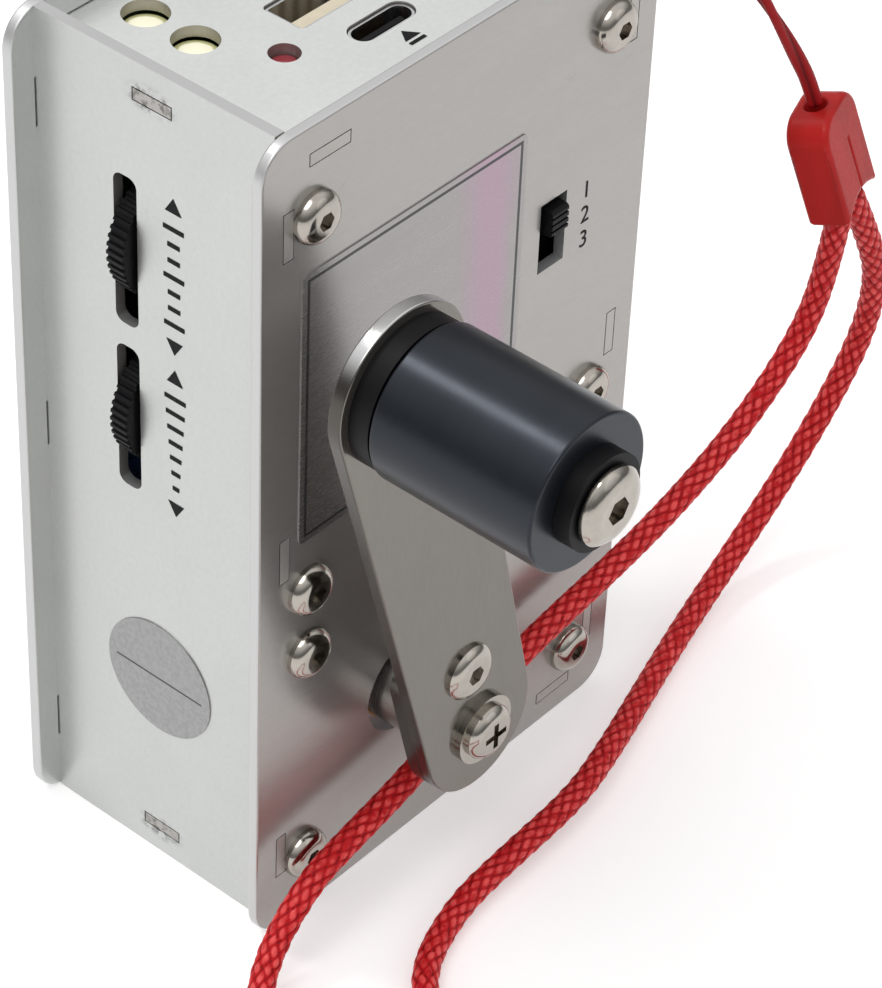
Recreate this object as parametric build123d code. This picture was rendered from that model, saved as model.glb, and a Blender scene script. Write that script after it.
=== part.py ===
from build123d import *
import math
import os

# Hand crank generator: a flat plate-and-panel case with a crank on its front face.
# Millimetres. X runs to the right seen from the front, Y to the back, Z up.
# The origin is on the floor, under the middle of everything but the wrist strap.

# ---- case ----
PLATE_WIDTH = 64.0
PLATE_HEIGHT = 112.0
PLATE_THICKNESS = 1.4
PLATE_CORNER_RADIUS = 4.5
PLATE_EDGE_ROUND = 0.3
CASE_DEPTH = 36.8
PANEL_THICKNESS = 1.4
PANEL_INSET = 3.4
TAB_LENGTH = 6.0
TAB_CLEARANCE = 0.15
SIDE_TAB_HEIGHTS = (11.5, PLATE_HEIGHT / 2 + 0.5, PLATE_HEIGHT - 12.0)
END_TAB_OFFSET = PLATE_WIDTH / 2 - 10.2
CROSS_TAB_LENGTH = 5.4

# ---- screws and posts ----
SCREW_SIDE = PLATE_WIDTH / 2 - 7.9
CORNER_SCREW_LOW = 9.5
CORNER_SCREW_HIGH = PLATE_HEIGHT - 11.2
GEARBOX_SCREW_HIGH = 40.9
BOARD_SCREW_LOW = 50.3
SCREW_RADIUS = 1.5
SCREW_HEAD_RADIUS = 3.15
SCREW_HEAD_HEIGHT = 1.8
SCREW_GRIP = 3.5
SCREW_HOLE_CLEARANCE = 0.2
THREAD_CLEARANCE = 0.02
POST_RADIUS = 2.75
SOCKET_DEPTH = 1.1
SOCKET_RATIO = 0.31

# ---- boards ----
BOARD_POST_LENGTH = 5.0
BOARD_THICKNESS = 1.6
BOARD_EDGE_GAP = 1.2
MAIN_BOARD_BOTTOM = 46.5
MAIN_BOARD_TOP = PLATE_HEIGHT - 7.0
PORT_BOARD_HEIGHT = PLATE_HEIGHT - 16.4
PORT_BOARD_WIDTH = 2 * (SCREW_SIDE - POST_RADIUS - 0.95)
PORT_BOARD_DEPTH = 25.0

# ---- band switch ----
SWITCH_X = PLATE_WIDTH / 2 - 16.3
SWITCH_Z = PLATE_HEIGHT - 34.7
SWITCH_WINDOW_WIDTH = 4.5
SWITCH_WINDOW_HEIGHT = 9.4
SLIDER_WIDTH = 2.8
SLIDER_HEIGHT = 3.4
SLIDER_PROUD = 1.1
SWITCH_TRAVEL = 4.2
SWITCH_BODY_WIDTH = 7.4
SWITCH_BODY_HEIGHT = 15.0
SWITCH_BODY_DEPTH = 3.6
SLIDER_FOOT_DEPTH = 1.0
SLIDER_SIDE_GAP = 0.3

# ---- thumbwheels ----
WHEEL_RADIUS = 7.8
WHEEL_PROUD = 1.8
WHEEL_THICKNESS = 2.4
WHEEL_DEPTH = 22.5
WHEEL_RIBS = 48
WHEEL_RIB_HEIGHT = 0.3
WHEEL_SPINDLE_RADIUS = 1.5
TUNING_Z = PLATE_HEIGHT - 24.9
VOLUME_Z = PLATE_HEIGHT - 47.5
WHEEL_SLOT_LENGTH = 19.6
WHEEL_SLOT_WIDTH = 3.4
WHEEL_SLOT_CORNER = 1.2
POT_WIDTH = 8.6
POT_HEIGHT = 10.0
POT_GAP = 0.3

# ---- top panel fittings ----
TORCH_X = 14.2 - PLATE_WIDTH / 2
TORCH_DEPTHS = (22.5, 29.7)
TORCH_RADIUS = 2.5
TORCH_FLANGE_RADIUS = 2.9
TORCH_HOLE_GAP = 0.18
CHARGE_X = 18.8 - PLATE_WIDTH / 2
CHARGE_DEPTH = 14.2
CHARGE_RADIUS = 1.6
CHARGE_HOLE_GAP = 0.2
LAMP_RECESS = 0.3
LAMP_FLANGE = 1.0
LAMP_HEIGHT_RATIO = 3.4
LAMP_LEG_RADIUS = 0.3
LAMP_LEG_PITCH = 2.54
USB_A_X = -2.1
USB_A_DEPTH = 18.7
USB_A_WIDTH = 13.1
USB_A_HEIGHT = 5.7
USB_A_WALL = 0.35
USB_A_TONGUE_GAP = 0.5
USB_A_TONGUE = 1.84
USB_A_TONGUE_WIDTH = 11.1
USB_C_X = -1.8
USB_C_DEPTH = 10.9
USB_C_WIDTH = 8.94
USB_C_HEIGHT = 3.26
USB_C_WALL = 0.3
USB_C_TONGUE = 0.7
USB_C_TONGUE_WIDTH = 6.7
PORT_RECESS = 0.3
PORT_GAP = 0.15
PORT_FLOOR = 2.5

# ---- crank ----
CRANK_X = -0.103125 * PLATE_WIDTH
CRANK_Z = 24.6
ARM_LENGTH = 61.0
ARM_LEAN = 15.0
ARM_THICKNESS = 1.8
ARM_HUB_RADIUS = 8.7
ARM_GRIP_RADIUS = 10.0
ARM_EDGE_ROUND = 0.25
HUB_PLATE_THICKNESS = 1.8
HUB_PLATE_REACH = 16.5
HUB_PLATE_CORNER = 2.5
HUB_GAP = 7.8
HUB_RADIUS = 5.3
HUB_HOLE_RADIUS = 6.6
ARM_SCREW_RADIUS = 2.0
ARM_SCREW_HEAD_RADIUS = 3.5
ARM_SCREW_HEAD_HEIGHT = 1.6
ARM_SCREW_LENGTH = 9.0
CROSS_LENGTH = 3.6
CROSS_WIDTH = 0.8
CROSS_DEPTH = 1.0
ARM_WASHER_RADIUS = 4.5
ARM_WASHER_THICKNESS = 0.8
LOCK_SCREW_DISTANCE = 11.0
LOCK_SCREW_RADIUS = 1.75
LOCK_SCREW_HEAD_RADIUS = 3.55
LOCK_SCREW_HEAD_HEIGHT = 1.3

# ---- grip ----
COLLAR_RADIUS = 8.8
COLLAR_THICKNESS = 2.7
GRIP_RADIUS = 9.1
GRIP_LENGTH = 21.4
GRIP_EDGE_ROUND = 0.35
GRIP_PLAY = 0.3
SLEEVE_RADIUS = 5.6
SLEEVE_PROUD = 2.2
BOLT_RADIUS = 2.5
BOLT_CLEARANCE = 0.08
BOLT_HEAD_RADIUS = 4.55
BOLT_HEAD_HEIGHT = 1.5
BOLT_HEAD_PLAY = 0.3
NUT_ACROSS_FLATS = 8.0
NUT_THICKNESS = 2.7

# ---- gearbox ----
GEAR_PLATE_FRONT_THICKNESS = 1.2
GEAR_PLATE_REAR_THICKNESS = 1.5
GEAR_SPACE = 9.4
GEAR_PLATE_WIDTH = 2 * (SCREW_SIDE + 2.4)
GEAR_PLATE_BOTTOM = 5.6
GEAR_PLATE_TOP = 45.4
DRIVE_MODULE = PLATE_WIDTH / 64 * 0.6
DRIVE_TEETH = 60
IDLER_PINION_TEETH = 12
FAST_MODULE = PLATE_WIDTH / 64 * 0.5
IDLER_WHEEL_TEETH = 44
GENERATOR_TEETH = 11
TOOTH_SHARE = 0.4
CRANK_GEAR_FRONT = 1.6
CRANK_GEAR_WIDTH = 3.0
IDLER_WHEEL_FRONT = 5.4
IDLER_WHEEL_WIDTH = 2.4
GENERATOR_SIDE = 120.0
JOURNAL_RADIUS = 4.0
REAR_JOURNAL_RADIUS = 2.5
RUNNING_CLEARANCE = 0.05
AXIAL_PLAY = 0.3
BUSH_WALL = 1.5
BUSH_FLANGE = 1.2
BUSH_FLANGE_THICKNESS = 0.6
CLIP_RADIUS = 4.2
CLIP_THICKNESS = 0.6
ARBOR_RADIUS = 1.5

# ---- generator ----
CAN_RADIUS = 0.1875 * PLATE_WIDTH
CAN_LENGTH = 13.0
CAN_WALL = 0.8
COIL_RADIUS = CAN_RADIUS - 2.4
COIL_LENGTH = 8.0
ROTOR_RADIUS = CAN_RADIUS - 3.0
ROTOR_LENGTH = 9.0
ROTOR_SHAFT_RADIUS = 1.0
END_CAP_THICKNESS = 1.2
BEARING_RADIUS = 3.0

# ---- power and sound ----
BATTERY_WIDTH = 0.3125 * PLATE_WIDTH
BATTERY_HEIGHT = 40.0
BATTERY_THICKNESS = 10.0
BATTERY_SIDE_GAP = 2.2
BATTERY_BOTTOM = 14.0
SPEAKER_X = PLATE_WIDTH * 0.140625
SPEAKER_Z = PLATE_HEIGHT - 40.0
SPEAKER_RADIUS = 14.0
SPEAKER_DEPTH = 3.5
SPEAKER_LIP = 1.6
SPEAKER_CONE_GAP = 1.0
SPEAKER_CONE_THICKNESS = 0.6
SPEAKER_BACK = 0.8
MAGNET_RADIUS = 7.0
MAGNET_DEPTH = 4.0
GRILLE_HOLE_RADIUS = 0.9
GRILLE_RING_STEP = 3.6
GRILLE_COUNTS = (1, 6, 12, 18)

# ---- labels ----
LABEL_WIDTH = 35.9
LABEL_BOTTOM = BOARD_SCREW_LOW + 7.15
LABEL_TOP = PLATE_HEIGHT - 18.25
LABEL_X = -7.8
LABEL_CORNER = 0.8
LABEL_THICKNESS = 0.15
STICKER_RADIUS = 8.0
STICKER_DEPTH = 18.4
STICKER_Z = 28.2

# ---- wrist strap ----
STRING_DIAMETER = 2.0
LOOP_DIAMETER = 3.3
EYELET_DEPTH = 5.5
EYELET_Z = PLATE_HEIGHT - 7.6
EYELET_FLANGE_RADIUS = 2.4
EYELET_FLANGE = 0.5
EYELET_WALL = 0.5
EYELET_INSIDE = 0.6
BEAD_TOP = Vector(60.5, -2.9, 73.9)
BEAD_BOTTOM = Vector(63.4, -6.9, 59.4)
BEAD_SIDE = Vector(0.951, 0.291, 0.110)
BEAD_WIDTH = 10.6
BEAD_THICKNESS = 6.4
BEAD_SHOULDER = 3.0
LEG_SPACING = 4.7
LEG_INSET = 1.0
STRING_LEAD = 8.4
STRING_TAIL = 3.4
STRING_POINTS = [
    (41.5, 5.2, 103.0), (47.5, 3.6, 98.9), (52.2, 1.8, 92.4), (55.6, -0.4, 85.5), (58.2, -1.5, 80.4),
]
LOOP_POINTS = [
    (62.5, -5.9, 48.9), (60.3, -4.5, 39.4), (51.6, -3.3, 30.4), (40.6, -2.9, 25.4),
    (29.4, -2.7, 22.4), (12.3, -2.7, 20.0), (0.2, -3.0, 17.1), (-10.9, -3.6, 14.0),
    (-20.9, -4.1, 12.5), (-28.7, -4.4, 11.0), (-36.9, -4.9, 4.0), (-44.7, -11.2, 1.7),
    (-50.4, -23.0, 1.7), (-52.0, -35.0, 1.7), (-53.6, -47.4, 1.7), (-53.6, -60.0, 1.7),
    (-44.6, -69.0, 1.7), (-32.4, -69.0, 1.7), (-23.8, -60.2, 1.7), (-24.0, -48.6, 1.7),
    (-29.6, -39.4, 1.7), (-31.6, -28.2, 1.7), (-24.8, -18.0, 1.7), (-13.6, -14.0, 2.0),
    (-3.6, -13.9, 3.2), (8.8, -13.8, 4.0), (18.6, -11.2, 3.5), (29.2, -7.6, 2.4),
    (42.9, -3.4, 2.2), (56.4, -0.6, 4.2), (66.3, -0.5, 10.9), (73.1, -1.6, 20.0),
    (76.2, -3.6, 30.6), (74.9, -5.6, 41.1), (71.0, -6.5, 49.9),
]

# ---- places that follow from the sizes above ----
ARM_FRONT = HUB_GAP + HUB_PLATE_THICKNESS + ARM_THICKNESS
COLLAR_FRONT = ARM_FRONT + COLLAR_THICKNESS
GRIP_BASE = COLLAR_FRONT + GRIP_PLAY
GRIP_END = GRIP_BASE + GRIP_LENGTH
SLEEVE_END = GRIP_END + SLEEVE_PROUD
BOLT_SEAT = SLEEVE_END + BOLT_HEAD_PLAY
FRONT_REACH = BOLT_SEAT + BOLT_HEAD_HEIGHT
BACK_REACH = CASE_DEPTH + SCREW_HEAD_HEIGHT
FRONT_Y = (FRONT_REACH - BACK_REACH) / 2
INNER_FRONT = FRONT_Y + PLATE_THICKNESS
BACK_Y = FRONT_Y + CASE_DEPTH - PLATE_THICKNESS
PANEL_OUTER_X = PLATE_WIDTH / 2 - PANEL_INSET
PANEL_INNER_X = PANEL_OUTER_X - PANEL_THICKNESS
TOP_FACE_Z = PLATE_HEIGHT - PANEL_INSET
TOP_UNDER_Z = TOP_FACE_Z - PANEL_THICKNESS
MAIN_BOARD_Y = INNER_FRONT + BOARD_POST_LENGTH
MAIN_BOARD_BACK = MAIN_BOARD_Y + BOARD_THICKNESS
PORT_BOARD_TOP = PORT_BOARD_HEIGHT + BOARD_THICKNESS
FRONT_GEAR_BACK = INNER_FRONT + GEAR_PLATE_FRONT_THICKNESS
REAR_GEAR_Y = FRONT_GEAR_BACK + GEAR_SPACE
REAR_GEAR_BACK = REAR_GEAR_Y + GEAR_PLATE_REAR_THICKNESS
GRIP_X = CRANK_X - ARM_LENGTH * math.sin(math.radians(ARM_LEAN))
GRIP_Z = CRANK_Z + ARM_LENGTH * math.cos(math.radians(ARM_LEAN))
WHEEL_X = -PANEL_OUTER_X - WHEEL_PROUD + WHEEL_RADIUS
WHEEL_FRONT = FRONT_Y + WHEEL_DEPTH - WHEEL_THICKNESS / 2
IDLER_DISTANCE = DRIVE_MODULE * (DRIVE_TEETH + IDLER_PINION_TEETH) / 2
IDLER_X = CRANK_X + IDLER_DISTANCE
IDLER_Z = CRANK_Z
FAST_DISTANCE = FAST_MODULE * (IDLER_WHEEL_TEETH + GENERATOR_TEETH) / 2
GENERATOR_X = IDLER_X + FAST_DISTANCE * math.cos(math.radians(GENERATOR_SIDE))
GENERATOR_Z = IDLER_Z + FAST_DISTANCE * math.sin(math.radians(GENERATOR_SIDE))
BATTERY_X = BATTERY_SIDE_GAP + BATTERY_WIDTH / 2 - PANEL_INNER_X
LABEL_Z = (LABEL_BOTTOM + LABEL_TOP) / 2
SLIDER_Z = SWITCH_Z + SWITCH_TRAVEL / 2
CORNER_SCREWS = [(x, z) for x in (-SCREW_SIDE, SCREW_SIDE) for z in (CORNER_SCREW_LOW, CORNER_SCREW_HIGH)]
BOARD_SCREWS = [(x, BOARD_SCREW_LOW) for x in (-SCREW_SIDE, SCREW_SIDE)]
GEARBOX_SCREWS = [(x, GEARBOX_SCREW_HIGH) for x in (-SCREW_SIDE, SCREW_SIDE)]
FRONT_SCREWS = CORNER_SCREWS + BOARD_SCREWS + GEARBOX_SCREWS


# ---- helpers ----
def wall(sketch, y, depth):
    """A drawing in X and Z, standing at y and running back by depth."""
    face_on = Plane((0, y, 0), x_dir=(1, 0, 0), z_dir=(0, -1, 0))
    return extrude(face_on * sketch, amount=-depth)


def side_wall(sketch, x, thickness):
    """A drawing in Y and Z, standing at x and running right by thickness."""
    return extrude(Plane((x, 0, 0), x_dir=(0, 1, 0), z_dir=(1, 0, 0)) * sketch, amount=thickness)


def disc(x, z, radius, y_front, y_back):
    """A round bar along Y between two depths."""
    return wall(Pos(x, z) * Circle(radius), y_front, y_back - y_front)


def upright(x, y, radius, z_low, z_high):
    """A round bar along Z between two heights."""
    return Pos(x, y, z_low) * Cylinder(radius, z_high - z_low, align=(Align.CENTER, Align.CENTER, Align.MIN))


def block(x_low, x_high, y_low, y_high, z_low, z_high):
    """A box between two corners."""
    size = (x_high - x_low, y_high - y_low, z_high - z_low)
    return Pos(x_low, y_low, z_low) * Box(*size, align=(Align.MIN, Align.MIN, Align.MIN))


def facing_front(solid, x, y, z):
    """A solid made along +Z, set at a place so that its +Z points to the front."""
    return Pos(x, y, z) * Rot(90, 0, 0) * solid


def facing_back(solid, x, y, z):
    """A solid made along +Z, set at a place so that its +Z points to the back."""
    return Pos(x, y, z) * Rot(-90, 0, 0) * solid


def button_head(radius, height, shank_radius, shank_length, socket_depth):
    """A domed head on its seat at z = 0, with a hexagon socket if it has a depth, and its shank below."""
    rim = height * 0.3
    crown = radius * 0.5
    side = Polyline((0, 0, -shank_length), (shank_radius, 0, -shank_length), (shank_radius, 0, 0),
                    (radius, 0, 0), (radius, 0, rim))
    middle = (radius * 0.84, 0, height * 0.78)
    dome = ThreePointArc((radius, 0, rim), middle, (crown, 0, height))
    top = Polyline((crown, 0, height), (0, 0, height), (0, 0, -shank_length))
    body = revolve(make_face(side + dome + top), Axis.Z, 360)
    if socket_depth == 0:
        return body
    socket = RegularPolygon(radius * SOCKET_RATIO * 2 / math.sqrt(3), 6)
    return body - extrude(Pos(0, 0, height) * socket, amount=-socket_depth)


def gear_outline(module, teeth, share, first_tooth_angle):
    """Straight-sided teeth: wide at the root, share of the pitch at the pitch line, narrow at the tip."""
    pitch_radius = module * teeth / 2
    step = 2 * math.pi / teeth
    tip = pitch_radius + module * 0.85
    root = pitch_radius - module * 1.2
    corners = []
    for tooth in range(teeth):
        centre = math.radians(first_tooth_angle) + tooth * step
        half_root = step * (share * 0.5 + 0.12)
        half_tip = step * share * 0.28
        for radius, angle in ((root, -half_root), (tip, -half_tip), (tip, half_tip), (root, half_root)):
            corners.append((radius * math.cos(centre + angle), radius * math.sin(centre + angle)))
    return make_face(Polyline(*corners, close=True))


# ---- case ----
def tab_cuts_in_plates(y):
    """The slots in a front or back plate for the tabs of the four panels."""
    long = TAB_LENGTH + 2 * TAB_CLEARANCE
    thick = PANEL_THICKNESS + 2 * TAB_CLEARANCE
    side_middle = PANEL_OUTER_X - PANEL_THICKNESS / 2
    cuts = Sketch()
    for side in (-1, 1):
        for height in SIDE_TAB_HEIGHTS:
            cuts += Pos(side * side_middle, height) * Rectangle(thick, long)
        for level in (PANEL_INSET + PANEL_THICKNESS / 2, TOP_FACE_Z - PANEL_THICKNESS / 2):
            cuts += Pos(side * END_TAB_OFFSET, level) * Rectangle(long, thick)
    return wall(cuts, y - 1, PLATE_THICKNESS + 2)


def rounded_plate(y):
    """A case plate with its corners rounded and its edges eased."""
    outline = Pos(0, PLATE_HEIGHT / 2) * RectangleRounded(PLATE_WIDTH, PLATE_HEIGHT, PLATE_CORNER_RADIUS)
    solid = wall(outline, y, PLATE_THICKNESS)
    edges = solid.edges().filter_by(Plane.XZ)
    return fillet(edges, PLATE_EDGE_ROUND)


def screw_holes(places, y):
    """Clearance holes through a plate at y."""
    radius = SCREW_RADIUS + SCREW_HOLE_CLEARANCE
    holes = Sketch() + [Pos(x, z) * Circle(radius) for x, z in places]
    return wall(holes, y - 1, PLATE_THICKNESS + 2)


def front_plate():
    plate = rounded_plate(FRONT_Y) - tab_cuts_in_plates(FRONT_Y) - screw_holes(FRONT_SCREWS, FRONT_Y)
    plate -= disc(CRANK_X, CRANK_Z, HUB_HOLE_RADIUS, FRONT_Y - 1, INNER_FRONT + 1)
    window = Pos(SWITCH_X, SWITCH_Z) * Rectangle(SWITCH_WINDOW_WIDTH, SWITCH_WINDOW_HEIGHT)
    return plate - wall(window, FRONT_Y - 1, PLATE_THICKNESS + 2)


def back_plate():
    plate = rounded_plate(BACK_Y) - tab_cuts_in_plates(BACK_Y) - screw_holes(CORNER_SCREWS, BACK_Y)
    grille = Sketch()
    for ring, count in enumerate(GRILLE_COUNTS):
        places = PolarLocations(ring * GRILLE_RING_STEP, count)
        grille += Pos(SPEAKER_X, SPEAKER_Z) * places * Circle(GRILLE_HOLE_RADIUS)
    return plate - wall(grille, BACK_Y - 1, PLATE_THICKNESS + 2)


def cross_tab_middle():
    return FRONT_Y + CASE_DEPTH / 2


def side_panel(side):
    """A full-height side panel with tabs into both plates and slots for the end panels' tabs."""
    low_x = side * (PANEL_OUTER_X + PANEL_INNER_X) / 2 - PANEL_THICKNESS / 2
    high_x = low_x + PANEL_THICKNESS
    panel = block(low_x, high_x, INNER_FRONT, BACK_Y, 0, PLATE_HEIGHT)
    for height in SIDE_TAB_HEIGHTS:
        low_z = height - TAB_LENGTH / 2
        panel += block(low_x, high_x, FRONT_Y, FRONT_Y + CASE_DEPTH, low_z, low_z + TAB_LENGTH)
    half = CROSS_TAB_LENGTH / 2 + TAB_CLEARANCE
    for level in (PANEL_INSET, TOP_UNDER_Z):
        low_y = cross_tab_middle() - half
        high_y = cross_tab_middle() + half
        low_z = level - TAB_CLEARANCE
        high_z = level + PANEL_THICKNESS + TAB_CLEARANCE
        panel -= block(low_x - 1, high_x + 1, low_y, high_y, low_z, high_z)
    return panel


def left_panel():
    panel = side_panel(-1)
    for height in (TUNING_Z, VOLUME_Z):
        slot = RectangleRounded(WHEEL_SLOT_WIDTH, WHEEL_SLOT_LENGTH, WHEEL_SLOT_CORNER)
        placed = Pos(FRONT_Y + WHEEL_DEPTH, height) * slot
        panel -= side_wall(placed, -PANEL_OUTER_X - 1, PANEL_THICKNESS + 2)
    return panel


def eyelet_barrel_radius():
    return STRING_DIAMETER / 2 + EYELET_WALL


def right_panel():
    hole = Pos(FRONT_Y + EYELET_DEPTH, EYELET_Z) * Circle(eyelet_barrel_radius() + THREAD_CLEARANCE)
    return side_panel(1) - side_wall(hole, PANEL_INNER_X - 1, PANEL_THICKNESS + 2)


def end_panel(low_z):
    """A top or bottom panel between the side panels, with tabs into them and into both plates."""
    high_z = low_z + PANEL_THICKNESS
    panel = block(-PANEL_INNER_X, PANEL_INNER_X, INNER_FRONT, BACK_Y, low_z, high_z)
    for side in (-1, 1):
        middle = side * END_TAB_OFFSET
        low_x = middle - TAB_LENGTH / 2
        panel += block(low_x, low_x + TAB_LENGTH, FRONT_Y, FRONT_Y + CASE_DEPTH, low_z, high_z)
    low_y = cross_tab_middle() - CROSS_TAB_LENGTH / 2
    panel += block(-PANEL_OUTER_X, PANEL_OUTER_X, low_y, low_y + CROSS_TAB_LENGTH, low_z, high_z)
    return panel


def usb_a_outline(grow):
    size = (USB_A_WIDTH + 2 * grow, USB_A_HEIGHT + 2 * grow)
    return Pos(USB_A_X, FRONT_Y + USB_A_DEPTH) * RectangleRounded(*size, 0.6 + grow)


def usb_c_outline(grow):
    height = USB_C_HEIGHT + 2 * grow
    return Pos(USB_C_X, FRONT_Y + USB_C_DEPTH) * SlotOverall(USB_C_WIDTH + 2 * grow, height)


def top_panel():
    openings = usb_a_outline(PORT_GAP) + usb_c_outline(PORT_GAP)
    for depth in TORCH_DEPTHS:
        openings += Pos(TORCH_X, FRONT_Y + depth) * Circle(TORCH_RADIUS + TORCH_HOLE_GAP)
    openings += Pos(CHARGE_X, FRONT_Y + CHARGE_DEPTH) * Circle(CHARGE_RADIUS + CHARGE_HOLE_GAP)
    cut = extrude(Plane.XY.offset(TOP_UNDER_Z - 1) * openings, amount=PANEL_THICKNESS + 2)
    return end_panel(TOP_UNDER_Z) - cut


# ---- screws and posts ----
def case_screw():
    grip = PLATE_THICKNESS + SCREW_GRIP
    return button_head(SCREW_HEAD_RADIUS, SCREW_HEAD_HEIGHT, SCREW_RADIUS, grip, SOCKET_DEPTH)


def front_screws():
    return [facing_front(case_screw(), x, FRONT_Y, z) for x, z in FRONT_SCREWS]


def back_screws():
    return [facing_back(case_screw(), x, FRONT_Y + CASE_DEPTH, z) for x, z in CORNER_SCREWS]


def post(x, z, y_front, y_back, front_bore, back_bore):
    """A round post along Y with a threaded hole in each end."""
    bar = disc(x, z, POST_RADIUS, y_front, y_back)
    bore = SCREW_RADIUS + THREAD_CLEARANCE
    bar -= disc(x, z, bore, y_front - 1, y_front + front_bore)
    return bar - disc(x, z, bore, y_back - back_bore, y_back + 1)


def board_posts():
    places = [(x, z) for x, z in CORNER_SCREWS if z > GEARBOX_SCREW_HIGH] + BOARD_SCREWS
    half = BOARD_POST_LENGTH / 2
    return [post(x, z, INNER_FRONT, MAIN_BOARD_Y, half + 1, half + 1) for x, z in places]


def gearbox_posts():
    places = [(x, z) for x, z in CORNER_SCREWS if z < GEARBOX_SCREW_HIGH] + GEARBOX_SCREWS
    bore = SCREW_GRIP + 0.5
    return [post(x, z, FRONT_GEAR_BACK, REAR_GEAR_Y, bore, bore) for x, z in places]


def rear_posts():
    """Posts from the main board or the rear gear plate to the back plate, each with a stud in front."""
    bore = SCREW_GRIP + 0.5
    posts = []
    for x, z in CORNER_SCREWS:
        lower = z < GEARBOX_SCREW_HIGH
        seat = REAR_GEAR_BACK if lower else MAIN_BOARD_BACK
        stud = GEAR_PLATE_REAR_THICKNESS if lower else BOARD_THICKNESS
        body = post(x, z, seat, BACK_Y, 0, bore)
        posts.append(body + disc(x, z, SCREW_RADIUS, seat - stud - 1, seat))
    return posts


def inner_screws():
    """Two screws on the main board and two on the rear gear plate, seen from behind."""
    screws = []
    for places, seat in ((BOARD_SCREWS, MAIN_BOARD_BACK), (GEARBOX_SCREWS, REAR_GEAR_BACK)):
        for x, z in places:
            length = BOARD_THICKNESS + 1
            screw = button_head(SCREW_HEAD_RADIUS * 0.8, SCREW_HEAD_HEIGHT * 0.8, SCREW_RADIUS, length, 0.9)
            screws.append(facing_back(screw, x, seat, z))
    return screws


# ---- boards and controls ----
def main_board():
    half = PANEL_INNER_X - BOARD_EDGE_GAP
    board = block(-half, half, MAIN_BOARD_Y, MAIN_BOARD_BACK, MAIN_BOARD_BOTTOM, MAIN_BOARD_TOP)
    holes = [(x, z) for x, z in CORNER_SCREWS if z > GEARBOX_SCREW_HIGH] + BOARD_SCREWS
    return board - wall(Sketch() + [Pos(x, z) * Circle(SCREW_RADIUS + 0.1) for x, z in holes],
                        MAIN_BOARD_Y - 1, BOARD_THICKNESS + 2)


def port_board():
    half = PORT_BOARD_WIDTH / 2
    back = MAIN_BOARD_BACK + PORT_BOARD_DEPTH
    return block(-half, half, MAIN_BOARD_BACK, back, PORT_BOARD_HEIGHT, PORT_BOARD_TOP)


def band_switch_body():
    """A slide switch on the main board, with a long opening for its slider."""
    front = MAIN_BOARD_Y - SWITCH_BODY_DEPTH
    half_width = SWITCH_BODY_WIDTH / 2
    half_height = SWITCH_BODY_HEIGHT / 2
    body = block(SWITCH_X - half_width, SWITCH_X + half_width, front, MAIN_BOARD_Y,
                 SWITCH_Z - half_height, SWITCH_Z + half_height)
    half_width = SLIDER_WIDTH / 2 + SLIDER_SIDE_GAP
    half_height = (SLIDER_HEIGHT + SWITCH_TRAVEL) / 2 + SLIDER_SIDE_GAP
    return body - block(SWITCH_X - half_width, SWITCH_X + half_width, front - 1,
                        MAIN_BOARD_Y - SLIDER_FOOT_DEPTH, SWITCH_Z - half_height, SWITCH_Z + half_height)


def band_switch_slider():
    """The ribbed nub at its upper stop."""
    half_width = SLIDER_WIDTH / 2
    half_height = SLIDER_HEIGHT / 2
    back = MAIN_BOARD_Y - SLIDER_FOOT_DEPTH - SLIDER_SIDE_GAP
    nub = block(SWITCH_X - half_width, SWITCH_X + half_width, FRONT_Y - SLIDER_PROUD, back,
                SLIDER_Z - half_height, SLIDER_Z + half_height)
    front_edges = nub.edges().filter_by(Axis.X).group_by(Axis.Y)[0]
    nub = fillet(front_edges, 0.5)
    for step in (-1, 0, 1):
        height = SLIDER_Z + step * 0.85
        nub -= block(SWITCH_X - half_width - 1, SWITCH_X + half_width + 1,
                     FRONT_Y - SLIDER_PROUD - 1, FRONT_Y - SLIDER_PROUD + 0.25, height - 0.15, height + 0.15)
    return nub


def potentiometer(height):
    """A wheel potentiometer that stands off the back of the main board."""
    back = WHEEL_FRONT - POT_GAP
    body = block(WHEEL_X - POT_WIDTH / 2, WHEEL_X + POT_WIDTH / 2, MAIN_BOARD_BACK, back,
                 height - POT_HEIGHT / 2, height + POT_HEIGHT / 2)
    bore = WHEEL_SPINDLE_RADIUS + RUNNING_CLEARANCE
    return body - disc(WHEEL_X, height, bore, back - 4.5, back + 1)


def thumbwheel(height):
    """A ribbed wheel with its spindle into the potentiometer."""
    step = 2 * math.pi / WHEEL_RIBS
    inner = WHEEL_RADIUS - WHEEL_RIB_HEIGHT
    corners = []
    for rib in range(WHEEL_RIBS):
        for radius, share in ((inner, 0.0), (inner, 0.4), (WHEEL_RADIUS, 0.5), (WHEEL_RADIUS, 0.9)):
            angle = (rib + share) * step
            corners.append((WHEEL_X + radius * math.cos(angle), height + radius * math.sin(angle)))
    wheel = wall(make_face(Polyline(*corners, close=True)), WHEEL_FRONT, WHEEL_THICKNESS)
    return wheel + disc(WHEEL_X, height, WHEEL_SPINDLE_RADIUS, WHEEL_FRONT - POT_GAP - 4, WHEEL_FRONT)


# ---- top panel fittings ----
def lamp(x, depth, radius, flange_radius):
    """A round-topped lamp with a flange, on two legs from the port board."""
    y = FRONT_Y + depth
    top = TOP_FACE_Z - LAMP_RECESS
    shoulder = top - radius
    low = top - LAMP_HEIGHT_RATIO * radius
    body = upright(x, y, radius, low, shoulder) + Pos(x, y, shoulder) * Sphere(radius, arc_size1=0)
    body += upright(x, y, flange_radius, low, low + LAMP_FLANGE)
    for side in (-1, 1):
        body += upright(x, y + side * LAMP_LEG_PITCH / 2 * radius / TORCH_RADIUS, LAMP_LEG_RADIUS,
                        PORT_BOARD_TOP, low)
    return body


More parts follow.
